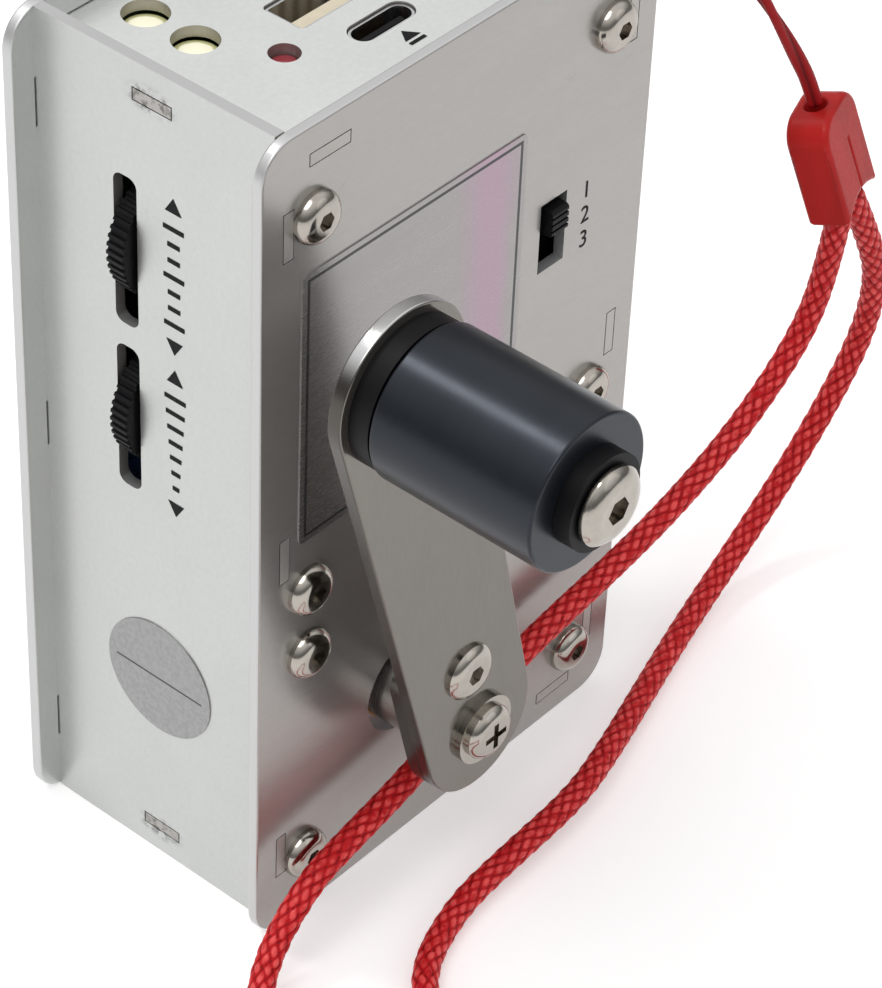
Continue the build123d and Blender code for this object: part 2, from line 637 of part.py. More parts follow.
def socket_shell(outer, inner, floor_z):
    """A drawn shell standing on the port board, open at the top, closed by its base."""
    top = TOP_FACE_Z - PORT_RECESS
    shell = extrude(Plane.XY.offset(PORT_BOARD_TOP) * outer, amount=top - PORT_BOARD_TOP)
    return shell - extrude(Plane.XY.offset(floor_z) * inner, amount=top - floor_z + 1)


def usb_a_shell():
    return socket_shell(usb_a_outline(0), usb_a_outline(-USB_A_WALL), PORT_BOARD_TOP + PORT_FLOOR)


def usb_a_tongue():
    """The flat tongue inside the larger socket, nearer its front wall."""
    y = FRONT_Y + USB_A_DEPTH - USB_A_HEIGHT / 2 + USB_A_WALL + USB_A_TONGUE_GAP
    half = USB_A_TONGUE_WIDTH / 2
    return block(USB_A_X - half, USB_A_X + half, y, y + USB_A_TONGUE,
                 PORT_BOARD_TOP + PORT_FLOOR, TOP_FACE_Z - PORT_RECESS - 0.8)


def usb_c_shell():
    return socket_shell(usb_c_outline(0), usb_c_outline(-USB_C_WALL), PORT_BOARD_TOP + PORT_FLOOR)


def usb_c_tongue():
    y = FRONT_Y + USB_C_DEPTH - USB_C_TONGUE / 2
    half = USB_C_TONGUE_WIDTH / 2
    return block(USB_C_X - half, USB_C_X + half, y, y + USB_C_TONGUE,
                 PORT_BOARD_TOP + PORT_FLOOR, TOP_FACE_Z - PORT_RECESS - 0.8)


# ---- crank ----
def along_arm(distance, across=0.0):
    """A point in X and Z, measured up the arm from the crank's axis and across it to the right."""
    lean = math.radians(ARM_LEAN)
    x = CRANK_X - distance * math.sin(lean) + across * math.cos(lean)
    z = CRANK_Z + distance * math.cos(lean) + across * math.sin(lean)
    return x, z


def arm_outline():
    """Two round ends of different size joined by their outer tangents."""
    slope = math.asin((ARM_GRIP_RADIUS - ARM_HUB_RADIUS) / ARM_LENGTH)
    corners = []
    for distance, radius in ((0, ARM_HUB_RADIUS), (ARM_LENGTH, ARM_GRIP_RADIUS)):
        up = distance - radius * math.sin(slope)
        out = radius * math.cos(slope)
        corners.append([along_arm(up, -out), along_arm(up, out)])
    (low_left, low_right), (high_left, high_right) = corners
    outline = (Line(low_left, high_left)
               + ThreePointArc(high_left, along_arm(ARM_LENGTH + ARM_GRIP_RADIUS), high_right)
               + Line(high_right, low_right)
               + ThreePointArc(low_right, along_arm(-ARM_HUB_RADIUS), low_left))
    return make_face(outline)


def crank_arm():
    arm = wall(arm_outline(), FRONT_Y - ARM_FRONT, ARM_THICKNESS)
    arm = fillet(arm.edges().filter_by(Plane.XZ), ARM_EDGE_ROUND)
    back = FRONT_Y - ARM_FRONT + ARM_THICKNESS
    for distance, radius in ((0, ARM_SCREW_RADIUS), (LOCK_SCREW_DISTANCE, LOCK_SCREW_RADIUS),
                             (ARM_LENGTH, BOLT_RADIUS)):
        x, z = along_arm(distance)
        arm -= disc(x, z, radius + THREAD_CLEARANCE, FRONT_Y - ARM_FRONT - 1, back + 1)
    return arm


def hub_plate():
    """The short plate behind the arm's lower end."""
    round_end = Pos(*along_arm(0)) * Circle(ARM_HUB_RADIUS)
    length = HUB_PLATE_REACH + ARM_HUB_RADIUS / 2
    middle = along_arm(HUB_PLATE_REACH - length / 2)
    bar = Pos(*middle) * Rot(0, 0, ARM_LEAN) * RectangleRounded(2 * ARM_HUB_RADIUS, length, HUB_PLATE_CORNER)
    square_start = Pos(*along_arm(ARM_HUB_RADIUS / 4)) * Rot(0, 0, ARM_LEAN) \
        * Rectangle(2 * ARM_HUB_RADIUS, ARM_HUB_RADIUS / 2)
    cut_back = Pos(*along_arm(-ARM_HUB_RADIUS / 2)) * Rot(0, 0, ARM_LEAN) \
        * Rectangle(2 * ARM_HUB_RADIUS, ARM_HUB_RADIUS)
    outline = (bar - cut_back) + square_start + round_end
    plate = wall(outline, FRONT_Y - HUB_GAP - HUB_PLATE_THICKNESS, HUB_PLATE_THICKNESS)
    for distance, radius in ((0, ARM_SCREW_RADIUS), (LOCK_SCREW_DISTANCE, LOCK_SCREW_RADIUS)):
        x, z = along_arm(distance)
        plate -= disc(x, z, radius + THREAD_CLEARANCE, FRONT_Y - ARM_FRONT, FRONT_Y)
    return plate


def crank_shaft():
    """The boss in the plate's hole, the front journal with the gear, and the rear journal."""
    start = FRONT_Y - HUB_GAP
    bush_face = INNER_FRONT
    rear_bush = REAR_GEAR_Y - BUSH_FLANGE_THICKNESS
    end = REAR_GEAR_BACK + 2 * AXIAL_PLAY + CLIP_THICKNESS + 0.6
    shaft = disc(CRANK_X, CRANK_Z, HUB_RADIUS, start, bush_face - AXIAL_PLAY)
    shaft += disc(CRANK_X, CRANK_Z, JOURNAL_RADIUS, bush_face - AXIAL_PLAY, rear_bush - AXIAL_PLAY)
    shaft += disc(CRANK_X, CRANK_Z, REAR_JOURNAL_RADIUS, rear_bush - AXIAL_PLAY, end)
    depth = ARM_SCREW_LENGTH - ARM_THICKNESS - HUB_PLATE_THICKNESS
    return shaft - disc(CRANK_X, CRANK_Z, ARM_SCREW_RADIUS + THREAD_CLEARANCE, start - 1, start + depth)


def crank_gear():
    """The large gear on the front journal, with a hub that runs against the front bush."""
    front = FRONT_GEAR_BACK + CRANK_GEAR_FRONT
    pinion_side = math.degrees(math.atan2(IDLER_Z - CRANK_Z, IDLER_X - CRANK_X))
    teeth = Pos(CRANK_X, CRANK_Z) * gear_outline(DRIVE_MODULE, DRIVE_TEETH, TOOTH_SHARE, pinion_side)
    gear = wall(teeth, front, CRANK_GEAR_WIDTH)
    hub_front = FRONT_GEAR_BACK + BUSH_FLANGE_THICKNESS + AXIAL_PLAY
    gear += disc(CRANK_X, CRANK_Z, JOURNAL_RADIUS + 2.5, hub_front, front + CRANK_GEAR_WIDTH)
    bore = JOURNAL_RADIUS + THREAD_CLEARANCE
    return gear - disc(CRANK_X, CRANK_Z, bore, hub_front - 1, front + CRANK_GEAR_WIDTH + 1)


def arm_screw():
    """A cross-head screw into the shaft, on its washer."""
    seat = ARM_FRONT + ARM_WASHER_THICKNESS
    length = ARM_SCREW_LENGTH + ARM_WASHER_THICKNESS - 0.5
    screw = button_head(ARM_SCREW_HEAD_RADIUS, ARM_SCREW_HEAD_HEIGHT, ARM_SCREW_RADIUS, length, 0)
    cross = Rectangle(CROSS_LENGTH, CROSS_WIDTH) + Rectangle(CROSS_WIDTH, CROSS_LENGTH)
    screw -= extrude(Pos(0, 0, ARM_SCREW_HEAD_HEIGHT + 0.1) * cross, amount=-CROSS_DEPTH)
    return facing_front(screw, CRANK_X, FRONT_Y - seat, CRANK_Z)


def arm_washer():
    ring = Circle(ARM_WASHER_RADIUS) - Circle(ARM_SCREW_RADIUS + THREAD_CLEARANCE)
    return wall(Pos(CRANK_X, CRANK_Z) * ring, FRONT_Y - ARM_FRONT - ARM_WASHER_THICKNESS, ARM_WASHER_THICKNESS)


def arm_lock_screw():
    length = ARM_THICKNESS + HUB_PLATE_THICKNESS
    screw = button_head(LOCK_SCREW_HEAD_RADIUS, LOCK_SCREW_HEAD_HEIGHT, LOCK_SCREW_RADIUS, length, 0.8)
    x, z = along_arm(LOCK_SCREW_DISTANCE)
    return facing_front(screw, x, FRONT_Y - ARM_FRONT, z)


def shaft_clip():
    """A split ring on the shaft behind the rear bush."""
    ring = Circle(CLIP_RADIUS) - Circle(REAR_JOURNAL_RADIUS + THREAD_CLEARANCE)
    ring -= Pos(0, -CLIP_RADIUS) * Rectangle(2.4, CLIP_RADIUS * 2 - 1)
    return wall(Pos(CRANK_X, CRANK_Z) * ring, REAR_GEAR_BACK + AXIAL_PLAY, CLIP_THICKNESS)


# ---- grip ----
def grip_collar():
    ring = Circle(COLLAR_RADIUS) - Circle(BOLT_RADIUS + THREAD_CLEARANCE)
    return wall(Pos(GRIP_X, GRIP_Z) * ring, FRONT_Y - COLLAR_FRONT, COLLAR_THICKNESS)


def grip():
    bar = disc(GRIP_X, GRIP_Z, GRIP_RADIUS, FRONT_Y - GRIP_END, FRONT_Y - GRIP_BASE)
    bar = fillet(bar.edges().filter_by(GeomType.CIRCLE), GRIP_EDGE_ROUND)
    bore = SLEEVE_RADIUS + THREAD_CLEARANCE
    return bar - disc(GRIP_X, GRIP_Z, bore, FRONT_Y - GRIP_END - 1, FRONT_Y - GRIP_BASE + 1)


def grip_sleeve():
    ring = Circle(SLEEVE_RADIUS) - Circle(BOLT_RADIUS + BOLT_CLEARANCE)
    return wall(Pos(GRIP_X, GRIP_Z) * ring, FRONT_Y - SLEEVE_END, SLEEVE_END - GRIP_BASE)


def nut_back():
    """How far in front of the plate the grip bolt's nut ends."""
    return ARM_FRONT - ARM_THICKNESS - NUT_THICKNESS


def grip_bolt():
    length = BOLT_SEAT - nut_back()
    bolt = button_head(BOLT_HEAD_RADIUS, BOLT_HEAD_HEIGHT, BOLT_RADIUS, length, 1.6)
    return facing_front(bolt, GRIP_X, FRONT_Y - BOLT_SEAT, GRIP_Z)


def grip_nut():
    outline = RegularPolygon(NUT_ACROSS_FLATS / 2, 6, major_radius=False) - Circle(BOLT_RADIUS + THREAD_CLEARANCE)
    return wall(Pos(GRIP_X, GRIP_Z) * outline, FRONT_Y - ARM_FRONT + ARM_THICKNESS, NUT_THICKNESS)


# ---- gearbox ----
def gear_plate(y, thickness, crank_bore, other_bores):
    """A bearing plate with holes for the posts' screws and for the shafts."""
    height = GEAR_PLATE_TOP - GEAR_PLATE_BOTTOM
    outline = Pos(0, GEAR_PLATE_BOTTOM + height / 2) * Rectangle(GEAR_PLATE_WIDTH, height)
    plate = wall(outline, y, thickness)
    for x, z in GEARBOX_SCREWS + [(x, z) for x, z in CORNER_SCREWS if z < GEARBOX_SCREW_HIGH]:
        plate -= disc(x, z, SCREW_RADIUS + 0.1, y - 1, y + thickness + 1)
    plate -= disc(CRANK_X, CRANK_Z, crank_bore, y - 1, y + thickness + 1)
    for x, z, radius in other_bores:
        plate -= disc(x, z, radius, y - 1, y + thickness + 1)
    return plate


def front_gear_plate():
    bore = JOURNAL_RADIUS + RUNNING_CLEARANCE + BUSH_WALL
    arbor = (IDLER_X, IDLER_Z, ARBOR_RADIUS + THREAD_CLEARANCE)
    return gear_plate(INNER_FRONT, GEAR_PLATE_FRONT_THICKNESS, bore + THREAD_CLEARANCE, [arbor])


def rear_gear_plate():
    bore = REAR_JOURNAL_RADIUS + RUNNING_CLEARANCE + BUSH_WALL
    arbor = (IDLER_X, IDLER_Z, ARBOR_RADIUS + THREAD_CLEARANCE)
    nose = (GENERATOR_X, GENERATOR_Z, BEARING_RADIUS + THREAD_CLEARANCE)
    return gear_plate(REAR_GEAR_Y, GEAR_PLATE_REAR_THICKNESS, bore + THREAD_CLEARANCE, [arbor, nose])


def front_bush():
    """A flanged bush in the front gear plate, its flange behind the plate."""
    wall_radius = JOURNAL_RADIUS + RUNNING_CLEARANCE + BUSH_WALL
    back = FRONT_GEAR_BACK + BUSH_FLANGE_THICKNESS
    bush = disc(CRANK_X, CRANK_Z, wall_radius, INNER_FRONT, FRONT_GEAR_BACK)
    bush += disc(CRANK_X, CRANK_Z, wall_radius + BUSH_FLANGE, FRONT_GEAR_BACK, back)
    return bush - disc(CRANK_X, CRANK_Z, JOURNAL_RADIUS + RUNNING_CLEARANCE, INNER_FRONT - 1, back + 1)


def rear_bush():
    """A flanged bush in the rear gear plate, its flange in front of the plate."""
    wall_radius = REAR_JOURNAL_RADIUS + RUNNING_CLEARANCE + BUSH_WALL
    front = REAR_GEAR_Y - BUSH_FLANGE_THICKNESS
    bush = disc(CRANK_X, CRANK_Z, wall_radius, REAR_GEAR_Y, REAR_GEAR_BACK)
    bush += disc(CRANK_X, CRANK_Z, wall_radius + BUSH_FLANGE, front, REAR_GEAR_Y)
    return bush - disc(CRANK_X, CRANK_Z, REAR_JOURNAL_RADIUS + RUNNING_CLEARANCE, front - 1, REAR_GEAR_BACK + 1)


def idler_arbor():
    return disc(IDLER_X, IDLER_Z, ARBOR_RADIUS, INNER_FRONT, REAR_GEAR_BACK)


def idler_gear():
    """The wheel and its pinion in one moulding, held between the gear plates by its hub."""
    pinion_front = FRONT_GEAR_BACK + CRANK_GEAR_FRONT - 0.4
    wheel_front = FRONT_GEAR_BACK + IDLER_WHEEL_FRONT
    wheel_back = wheel_front + IDLER_WHEEL_WIDTH
    crank_side = math.degrees(math.atan2(CRANK_Z - IDLER_Z, CRANK_X - IDLER_X))
    half_tooth = 180 / IDLER_PINION_TEETH
    pinion = gear_outline(DRIVE_MODULE, IDLER_PINION_TEETH, TOOTH_SHARE, crank_side + half_tooth)
    wheel = gear_outline(FAST_MODULE, IDLER_WHEEL_TEETH, TOOTH_SHARE, GENERATOR_SIDE)
    place = Pos(IDLER_X, IDLER_Z)
    gear = wall(place * pinion, pinion_front, wheel_front - pinion_front)
    gear += wall(place * wheel, wheel_front, IDLER_WHEEL_WIDTH)
    hub = ARBOR_RADIUS + 1.0
    gear += disc(IDLER_X, IDLER_Z, hub, FRONT_GEAR_BACK + AXIAL_PLAY, pinion_front)
    gear += disc(IDLER_X, IDLER_Z, hub, wheel_back, REAR_GEAR_Y - AXIAL_PLAY)
    bore = ARBOR_RADIUS + RUNNING_CLEARANCE
    return gear - disc(IDLER_X, IDLER_Z, bore, FRONT_GEAR_BACK, REAR_GEAR_Y)


def generator_pinion():
    wheel_front = FRONT_GEAR_BACK + IDLER_WHEEL_FRONT
    half_tooth = 180 / GENERATOR_TEETH
    outline = gear_outline(FAST_MODULE, GENERATOR_TEETH, TOOTH_SHARE, GENERATOR_SIDE + 180 + half_tooth)
    outline -= Circle(ROTOR_SHAFT_RADIUS + THREAD_CLEARANCE)
    return wall(Pos(GENERATOR_X, GENERATOR_Z) * outline, wheel_front - 0.2, IDLER_WHEEL_WIDTH + 0.6)


# ---- generator ----
def generator_can():
    """A cup with its bearing nose through the rear gear plate, open at the back."""
    back = REAR_GEAR_BACK + CAN_LENGTH
    can = disc(GENERATOR_X, GENERATOR_Z, CAN_RADIUS, REAR_GEAR_BACK, back)
    can -= disc(GENERATOR_X, GENERATOR_Z, CAN_RADIUS - CAN_WALL, REAR_GEAR_BACK + CAN_WALL, back + 1)
    can += disc(GENERATOR_X, GENERATOR_Z, BEARING_RADIUS, REAR_GEAR_Y, REAR_GEAR_BACK)
    bore = ROTOR_SHAFT_RADIUS + RUNNING_CLEARANCE
    return can - disc(GENERATOR_X, GENERATOR_Z, bore, REAR_GEAR_Y - 1, REAR_GEAR_BACK + CAN_WALL + 1)


def generator_middle():
    return REAR_GEAR_BACK + CAN_WALL + (CAN_LENGTH - CAN_WALL) / 2


def generator_coils():
    ring = Circle(CAN_RADIUS - CAN_WALL - THREAD_CLEARANCE) - Circle(COIL_RADIUS)
    place = Pos(GENERATOR_X, GENERATOR_Z)
    return wall(place * ring, generator_middle() - COIL_LENGTH / 2, COIL_LENGTH)


def generator_rotor():
    """The magnet and its shaft."""
    back = REAR_GEAR_BACK + CAN_LENGTH
    shaft_front = FRONT_GEAR_BACK + IDLER_WHEEL_FRONT - 0.2
    rotor = disc(GENERATOR_X, GENERATOR_Z, ROTOR_RADIUS, generator_middle() - ROTOR_LENGTH / 2,
                 generator_middle() + ROTOR_LENGTH / 2)
    return rotor + disc(GENERATOR_X, GENERATOR_Z, ROTOR_SHAFT_RADIUS, shaft_front, back + END_CAP_THICKNESS)


def generator_end_cap():
    back = REAR_GEAR_BACK + CAN_LENGTH
    cap = disc(GENERATOR_X, GENERATOR_Z, CAN_RADIUS, back, back + END_CAP_THICKNESS)
    cap += disc(GENERATOR_X, GENERATOR_Z, BEARING_RADIUS, back, back + END_CAP_THICKNESS + 0.8)
    bore = ROTOR_SHAFT_RADIUS + RUNNING_CLEARANCE
    return cap - disc(GENERATOR_X, GENERATOR_Z, bore, back - 1, back + END_CAP_THICKNESS + 2)


# ---- power and sound ----
def battery_cell():
    """A flat cell fixed to the inside of the back plate."""
    half = BATTERY_WIDTH / 2
    cell = block(BATTERY_X - half, BATTERY_X + half, BACK_Y - BATTERY_THICKNESS, BACK_Y,
                 BATTERY_BOTTOM, BATTERY_BOTTOM + BATTERY_HEIGHT)
    return fillet(cell.edges().filter_by(Axis.Z), 2.0)


def speaker_frame():
    """A dished ring against the back plate, closed in front but for the magnet."""
    front = BACK_Y - SPEAKER_DEPTH
    frame = disc(SPEAKER_X, SPEAKER_Z, SPEAKER_RADIUS, front, BACK_Y)
    return frame - disc(SPEAKER_X, SPEAKER_Z, SPEAKER_RADIUS - SPEAKER_LIP, front + SPEAKER_BACK, BACK_Y + 1)


def speaker_cone():
    """The diaphragm, just in front of the grille holes."""
    back = BACK_Y - SPEAKER_CONE_GAP
    radius = SPEAKER_RADIUS - SPEAKER_LIP - THREAD_CLEARANCE
    return disc(SPEAKER_X, SPEAKER_Z, radius, back - SPEAKER_CONE_THICKNESS, back)


def speaker_magnet():
    front = BACK_Y - SPEAKER_DEPTH
    return disc(SPEAKER_X, SPEAKER_Z, MAGNET_RADIUS, front - MAGNET_DEPTH, front)


# ---- labels ----
def rating_label():
    outline = Pos(LABEL_X, LABEL_Z) * RectangleRounded(LABEL_WIDTH, LABEL_TOP - LABEL_BOTTOM, LABEL_CORNER)
    return wall(outline, FRONT_Y - LABEL_THICKNESS, LABEL_THICKNESS)


def round_sticker():
    outline = Pos(FRONT_Y + STICKER_DEPTH, STICKER_Z) * Circle(STICKER_RADIUS)
    return side_wall(outline, -PANEL_OUTER_X - LABEL_THICKNESS, LABEL_THICKNESS)


# ---- wrist strap ----
def lanyard_eyelet():
    """A rolled eyelet in the right panel, its flange outside."""
    barrel = eyelet_barrel_radius()
    inside = PANEL_INNER_X - EYELET_INSIDE
    place = Pos(FRONT_Y + EYELET_DEPTH, EYELET_Z)
    eyelet = side_wall(place * Circle(barrel), inside, PANEL_OUTER_X - inside)
    eyelet += side_wall(place * Circle(EYELET_FLANGE_RADIUS), PANEL_OUTER_X, EYELET_FLANGE)
    bore = place * Circle(STRING_DIAMETER / 2 + THREAD_CLEARANCE)
    return eyelet - side_wall(bore, inside - 1, PANEL_OUTER_X - inside + EYELET_FLANGE + 2)


def bead_plane():
    """At the bottom of the bead, with its width along X and the way down along Z."""
    return Plane(origin=BEAD_BOTTOM, x_dir=BEAD_SIDE, z_dir=BEAD_BOTTOM - BEAD_TOP)


def bead_point(across, down):
    """A point measured across the bead and down from its bottom."""
    plane = bead_plane()
    return plane.origin + plane.x_dir * across + plane.z_dir * down


def leg_start(side, towards):
    """Where a leg of the loop ends inside the bead, on its line to the first point of its run."""
    mouth = bead_point(side * LEG_SPACING / 2, 0)
    return mouth - (Vector(*towards) - mouth).normalized() * LEG_INSET


def strap_bead():
    """A rounded block with shoulders, a groove down its face and holes for the string and the legs."""
    length = (BEAD_BOTTOM - BEAD_TOP).length
    plane = bead_plane()
    body = Box(BEAD_WIDTH, BEAD_THICKNESS, length, align=(Align.CENTER, Align.CENTER, Align.MAX))
    body = fillet(body.edges().filter_by(Axis.Z), 1.6)
    shoulders = body.edges().filter_by(Axis.Y).group_by(Axis.Z)[0]
    body = fillet(shoulders, BEAD_SHOULDER)
    bead = plane * body
    for side, towards in ((-1, LOOP_POINTS[0]), (1, LOOP_POINTS[-1])):
        start = leg_start(side, towards)
        drill = Plane(origin=start, z_dir=Vector(*towards) - start)
        bead -= extrude(drill * Circle(LOOP_DIAMETER / 2), amount=3 * LEG_INSET)
    return bead


def cord_tube(name, points, diameter):
    """A tube along straight runs joined by tangent arcs as large as the runs allow."""
    path_points = [Vector(*p) for p in points]
    radii = []
    for before, here, after in zip(path_points, path_points[1:], path_points[2:]):
        turn = math.radians((here - before).get_angle(after - here))
        shorter = min((here - before).length, (after - here).length)
        radii.append(0.45 * shorter / math.tan(turn / 2))
    path = FilletPolyline(*path_points, radius=radii)
    start = Plane(origin=path @ 0, z_dir=path % 0)
    tube = sweep(start * Circle(diameter / 2), path=path)
    expected = math.pi * diameter ** 2 / 4 * path.length
    print(name, "length", round(path.length, 1), "least radius", round(min(radii), 1),
          "volume ratio", round(tube.volume / expected, 4))
    print("  radii", [round(r, 1) for r in radii])
    return tube


def strap_string():
    """From the eyelet's bore to the top of the bead."""
    start = Vector(PANEL_INNER_X - EYELET_INSIDE, FRONT_Y + EYELET_DEPTH, EYELET_Z)
    lead = start + Vector(STRING_LEAD, 0, 0)
    tail = BEAD_TOP - bead_plane().z_dir * STRING_TAIL
    return cord_tube("strap_string", [start, lead] + STRING_POINTS + [tail, BEAD_TOP], STRING_DIAMETER)


def strap_loop():
    """From one hole under the bead, along the case and over the floor, back to the other hole."""
    first = leg_start(-1, LOOP_POINTS[0])
    last = leg_start(1, LOOP_POINTS[-1])
    points = [first] + LOOP_POINTS + [last]
    return cord_tube("strap_loop", points, LOOP_DIAMETER)


# ---- the kept files ----
def save(name, shape):
    """One STEP file for a node, from one solid or from a list of alike solids."""
    solids = shape if isinstance(shape, list) else [shape]
    pieces = [piece for solid in solids for piece in solid.solids()]
    export_step(pieces[0] if len(pieces) == 1 else Compound(children=pieces), f"parts/{name}.step")


def main():
    os.makedirs("parts", exist_ok=True)
    makers = [
        front_plate, back_plate, left_panel, right_panel, front_screws, back_screws, board_posts,
        gearbox_posts, rear_posts, inner_screws, main_board, port_board, band_switch_body,
        band_switch_slider, top_panel, usb_a_shell, usb_a_tongue, usb_c_shell, usb_c_tongue,
        crank_arm, hub_plate, crank_shaft, crank_gear, arm_screw, arm_washer, arm_lock_screw,
        shaft_clip, grip_collar, grip, grip_sleeve, grip_bolt, grip_nut, front_gear_plate,
        rear_gear_plate, front_bush, rear_bush, idler_arbor, idler_gear, generator_pinion,
        generator_can, generator_coils, generator_rotor, generator_end_cap, battery_cell,
        speaker_frame, speaker_cone, speaker_magnet, rating_label, round_sticker,
        lanyard_eyelet, strap_bead, strap_string, strap_loop,
    ]
    for maker in makers:
        save(maker.__name__, maker())
    save("bottom_panel", end_panel(PANEL_INSET))
    save("tuning_potentiometer", potentiometer(TUNING_Z))
    save("volume_potentiometer", potentiometer(VOLUME_Z))
    save("tuning_wheel", thumbwheel(TUNING_Z))
    save("volume_wheel", thumbwheel(VOLUME_Z))
    save("torch_lamps", [lamp(TORCH_X, depth, TORCH_RADIUS, TORCH_FLANGE_RADIUS) for depth in TORCH_DEPTHS])
    save("charge_lamp", lamp(CHARGE_X, CHARGE_DEPTH, CHARGE_RADIUS, CHARGE_RADIUS + 0.3))
    print("front face at y", round(FRONT_Y, 3), "grip at", round(GRIP_X, 3), round(GRIP_Z, 3),
          "generator at", round(GENERATOR_X, 3), round(GENERATOR_Z, 3))


main()
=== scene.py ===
import math

import bpy
import numpy as np
from bpy.props import FloatProperty, FloatVectorProperty, IntProperty, PointerProperty
from mathutils import Matrix, Vector


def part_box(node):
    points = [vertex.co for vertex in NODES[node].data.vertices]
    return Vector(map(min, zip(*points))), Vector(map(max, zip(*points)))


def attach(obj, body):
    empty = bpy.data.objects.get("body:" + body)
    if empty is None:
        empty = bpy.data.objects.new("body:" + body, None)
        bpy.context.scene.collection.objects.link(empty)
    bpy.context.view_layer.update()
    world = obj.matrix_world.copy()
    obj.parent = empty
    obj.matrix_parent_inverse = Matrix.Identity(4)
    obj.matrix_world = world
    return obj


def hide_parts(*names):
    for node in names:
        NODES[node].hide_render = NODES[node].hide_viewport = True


bl_info = {
    "name": "Hand crank generator",
    "version": (1, 0, 0),
    "blender": (4, 5, 0),
    "location": "3D View > Sidebar > Generator",
    "description": "Dresses the generator's packed model: finishes, wrist strap, marks, lamps and studio",
    "category": "Object",
}

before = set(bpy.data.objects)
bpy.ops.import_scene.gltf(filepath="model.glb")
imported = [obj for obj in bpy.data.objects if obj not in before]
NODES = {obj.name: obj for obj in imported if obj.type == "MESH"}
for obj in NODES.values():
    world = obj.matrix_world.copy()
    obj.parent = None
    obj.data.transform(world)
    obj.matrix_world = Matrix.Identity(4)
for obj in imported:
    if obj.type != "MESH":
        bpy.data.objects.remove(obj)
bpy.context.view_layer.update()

# Places, in metres, in the frame's axes.
MM = 0.001
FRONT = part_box("front_plate")[0].y
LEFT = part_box("left_panel")[0].x
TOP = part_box("top_panel")[1].z
GRIP_MIDDLE = (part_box("grip")[0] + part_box("grip")[1]) / 2
SHAFT_MIDDLE = (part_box("crank_shaft")[0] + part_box("crank_shaft")[1]) / 2

STRING_POINTS = np.array([
    (26.6, 6.1, 104.4), (35.0, 6.1, 104.4), (41.5, 5.2, 103.0), (47.5, 3.6, 98.9),
    (52.2, 1.8, 92.4), (55.6, -0.4, 85.5), (58.2, -1.5, 80.4), (59.86, -2.01, 77.12),
    (60.5, -2.9, 73.9),
]) * MM
LOOP_POINTS = np.array([
    (61.04, -7.74, 60.12),
    (62.5, -5.9, 48.9), (60.3, -4.5, 39.4), (51.6, -3.3, 30.4), (40.6, -2.9, 25.4),
    (29.4, -2.7, 22.4), (12.3, -2.7, 20.0), (0.2, -3.0, 17.1), (-10.9, -3.6, 14.0),
    (-20.9, -4.1, 12.5), (-28.7, -4.4, 11.0), (-36.9, -4.9, 4.0), (-44.7, -11.2, 1.7),
    (-50.4, -23.0, 1.7), (-52.0, -35.0, 1.7), (-53.6, -47.4, 1.7), (-53.6, -60.0, 1.7),
    (-44.6, -69.0, 1.7), (-32.4, -69.0, 1.7), (-23.8, -60.2, 1.7), (-24.0, -48.6, 1.7),
    (-29.6, -39.4, 1.7), (-31.6, -28.2, 1.7), (-24.8, -18.0, 1.7), (-13.6, -14.0, 2.0),
    (-3.6, -13.9, 3.2), (8.8, -13.8, 4.0), (18.6, -11.2, 3.5), (29.2, -7.6, 2.4),
    (42.9, -3.4, 2.2), (56.4, -0.6, 4.2), (66.3, -0.5, 10.9), (73.1, -1.6, 20.0),
    (76.2, -3.6, 30.6), (74.9, -5.6, 41.1), (71.0, -6.5, 49.9),
    (65.15, -6.19, 60.53),
]) * MM
BEAD_TOP = Vector((60.5, -2.9, 73.9)) * MM
BEAD_BOTTOM = Vector((63.4, -6.9, 59.4)) * MM
BEAD_SIDE = Vector((0.951, 0.291, 0.110))

# The printed marks: places and half sizes, in metres.
SCALE_DEPTH = 0.0155
SCALE_BARS = 7
BAR_STEP = 0.0021
BAR_HALF_THICKNESS = 0.0003
ARROW_TIP = 0.0103
ARROW_BASE = 0.0084
ARROW_HALF_WIDTH = 0.0012
NUMERAL_SIDE = 0.0215
NUMERAL_HEIGHTS = {"1": 0.0801, "2": 0.0767, "3": 0.0733}

# The lamps: the torch lamps' place and flange, and the tints of each lens's cup and body, which also colour
# the lens's painted glow.
TORCH_SIDE = -0.0178
TORCH_FLANGE = 0.0029
TORCH_TINTS = (0.97, 0.94, 0.72), (0.50, 0.50, 0.24)
CHARGE_TINTS = (0.24, 0.008, 0.020), (0.12, 0.004, 0.010)

# The contacts on each tongue: how many, from one to the next, and how wide.
CONTACT_ROWS = {"usb_a_tongue": (4, 0.0022, 0.0010), "usb_c_tongue": (12, 0.0005, 0.00025)}

# The camera's turn, lift and roll in degrees, and its place to the right of the case's middle, over it
# and behind it, in heights of the case.
CAMERA_TURN, CAMERA_LIFT, CAMERA_ROLL = -50.814, 40.15, 2.636
CAMERA_SHIFT = 0.1072, -0.1186, 4.0509
CASE_HEIGHT = 0.112
CASE_MIDDLE = Vector((0.00007, 0.01831, 0.056))

# The studio's lamps: place and width.
STUDIO_LAMPS = {
    "key": ((-0.40, -0.06, 0.88), 0.60),
    "fill": ((0.35, -0.75, 0.50), 0.70),
    "streak": ((-0.16, 0.42, 0.85), 0.14),
}

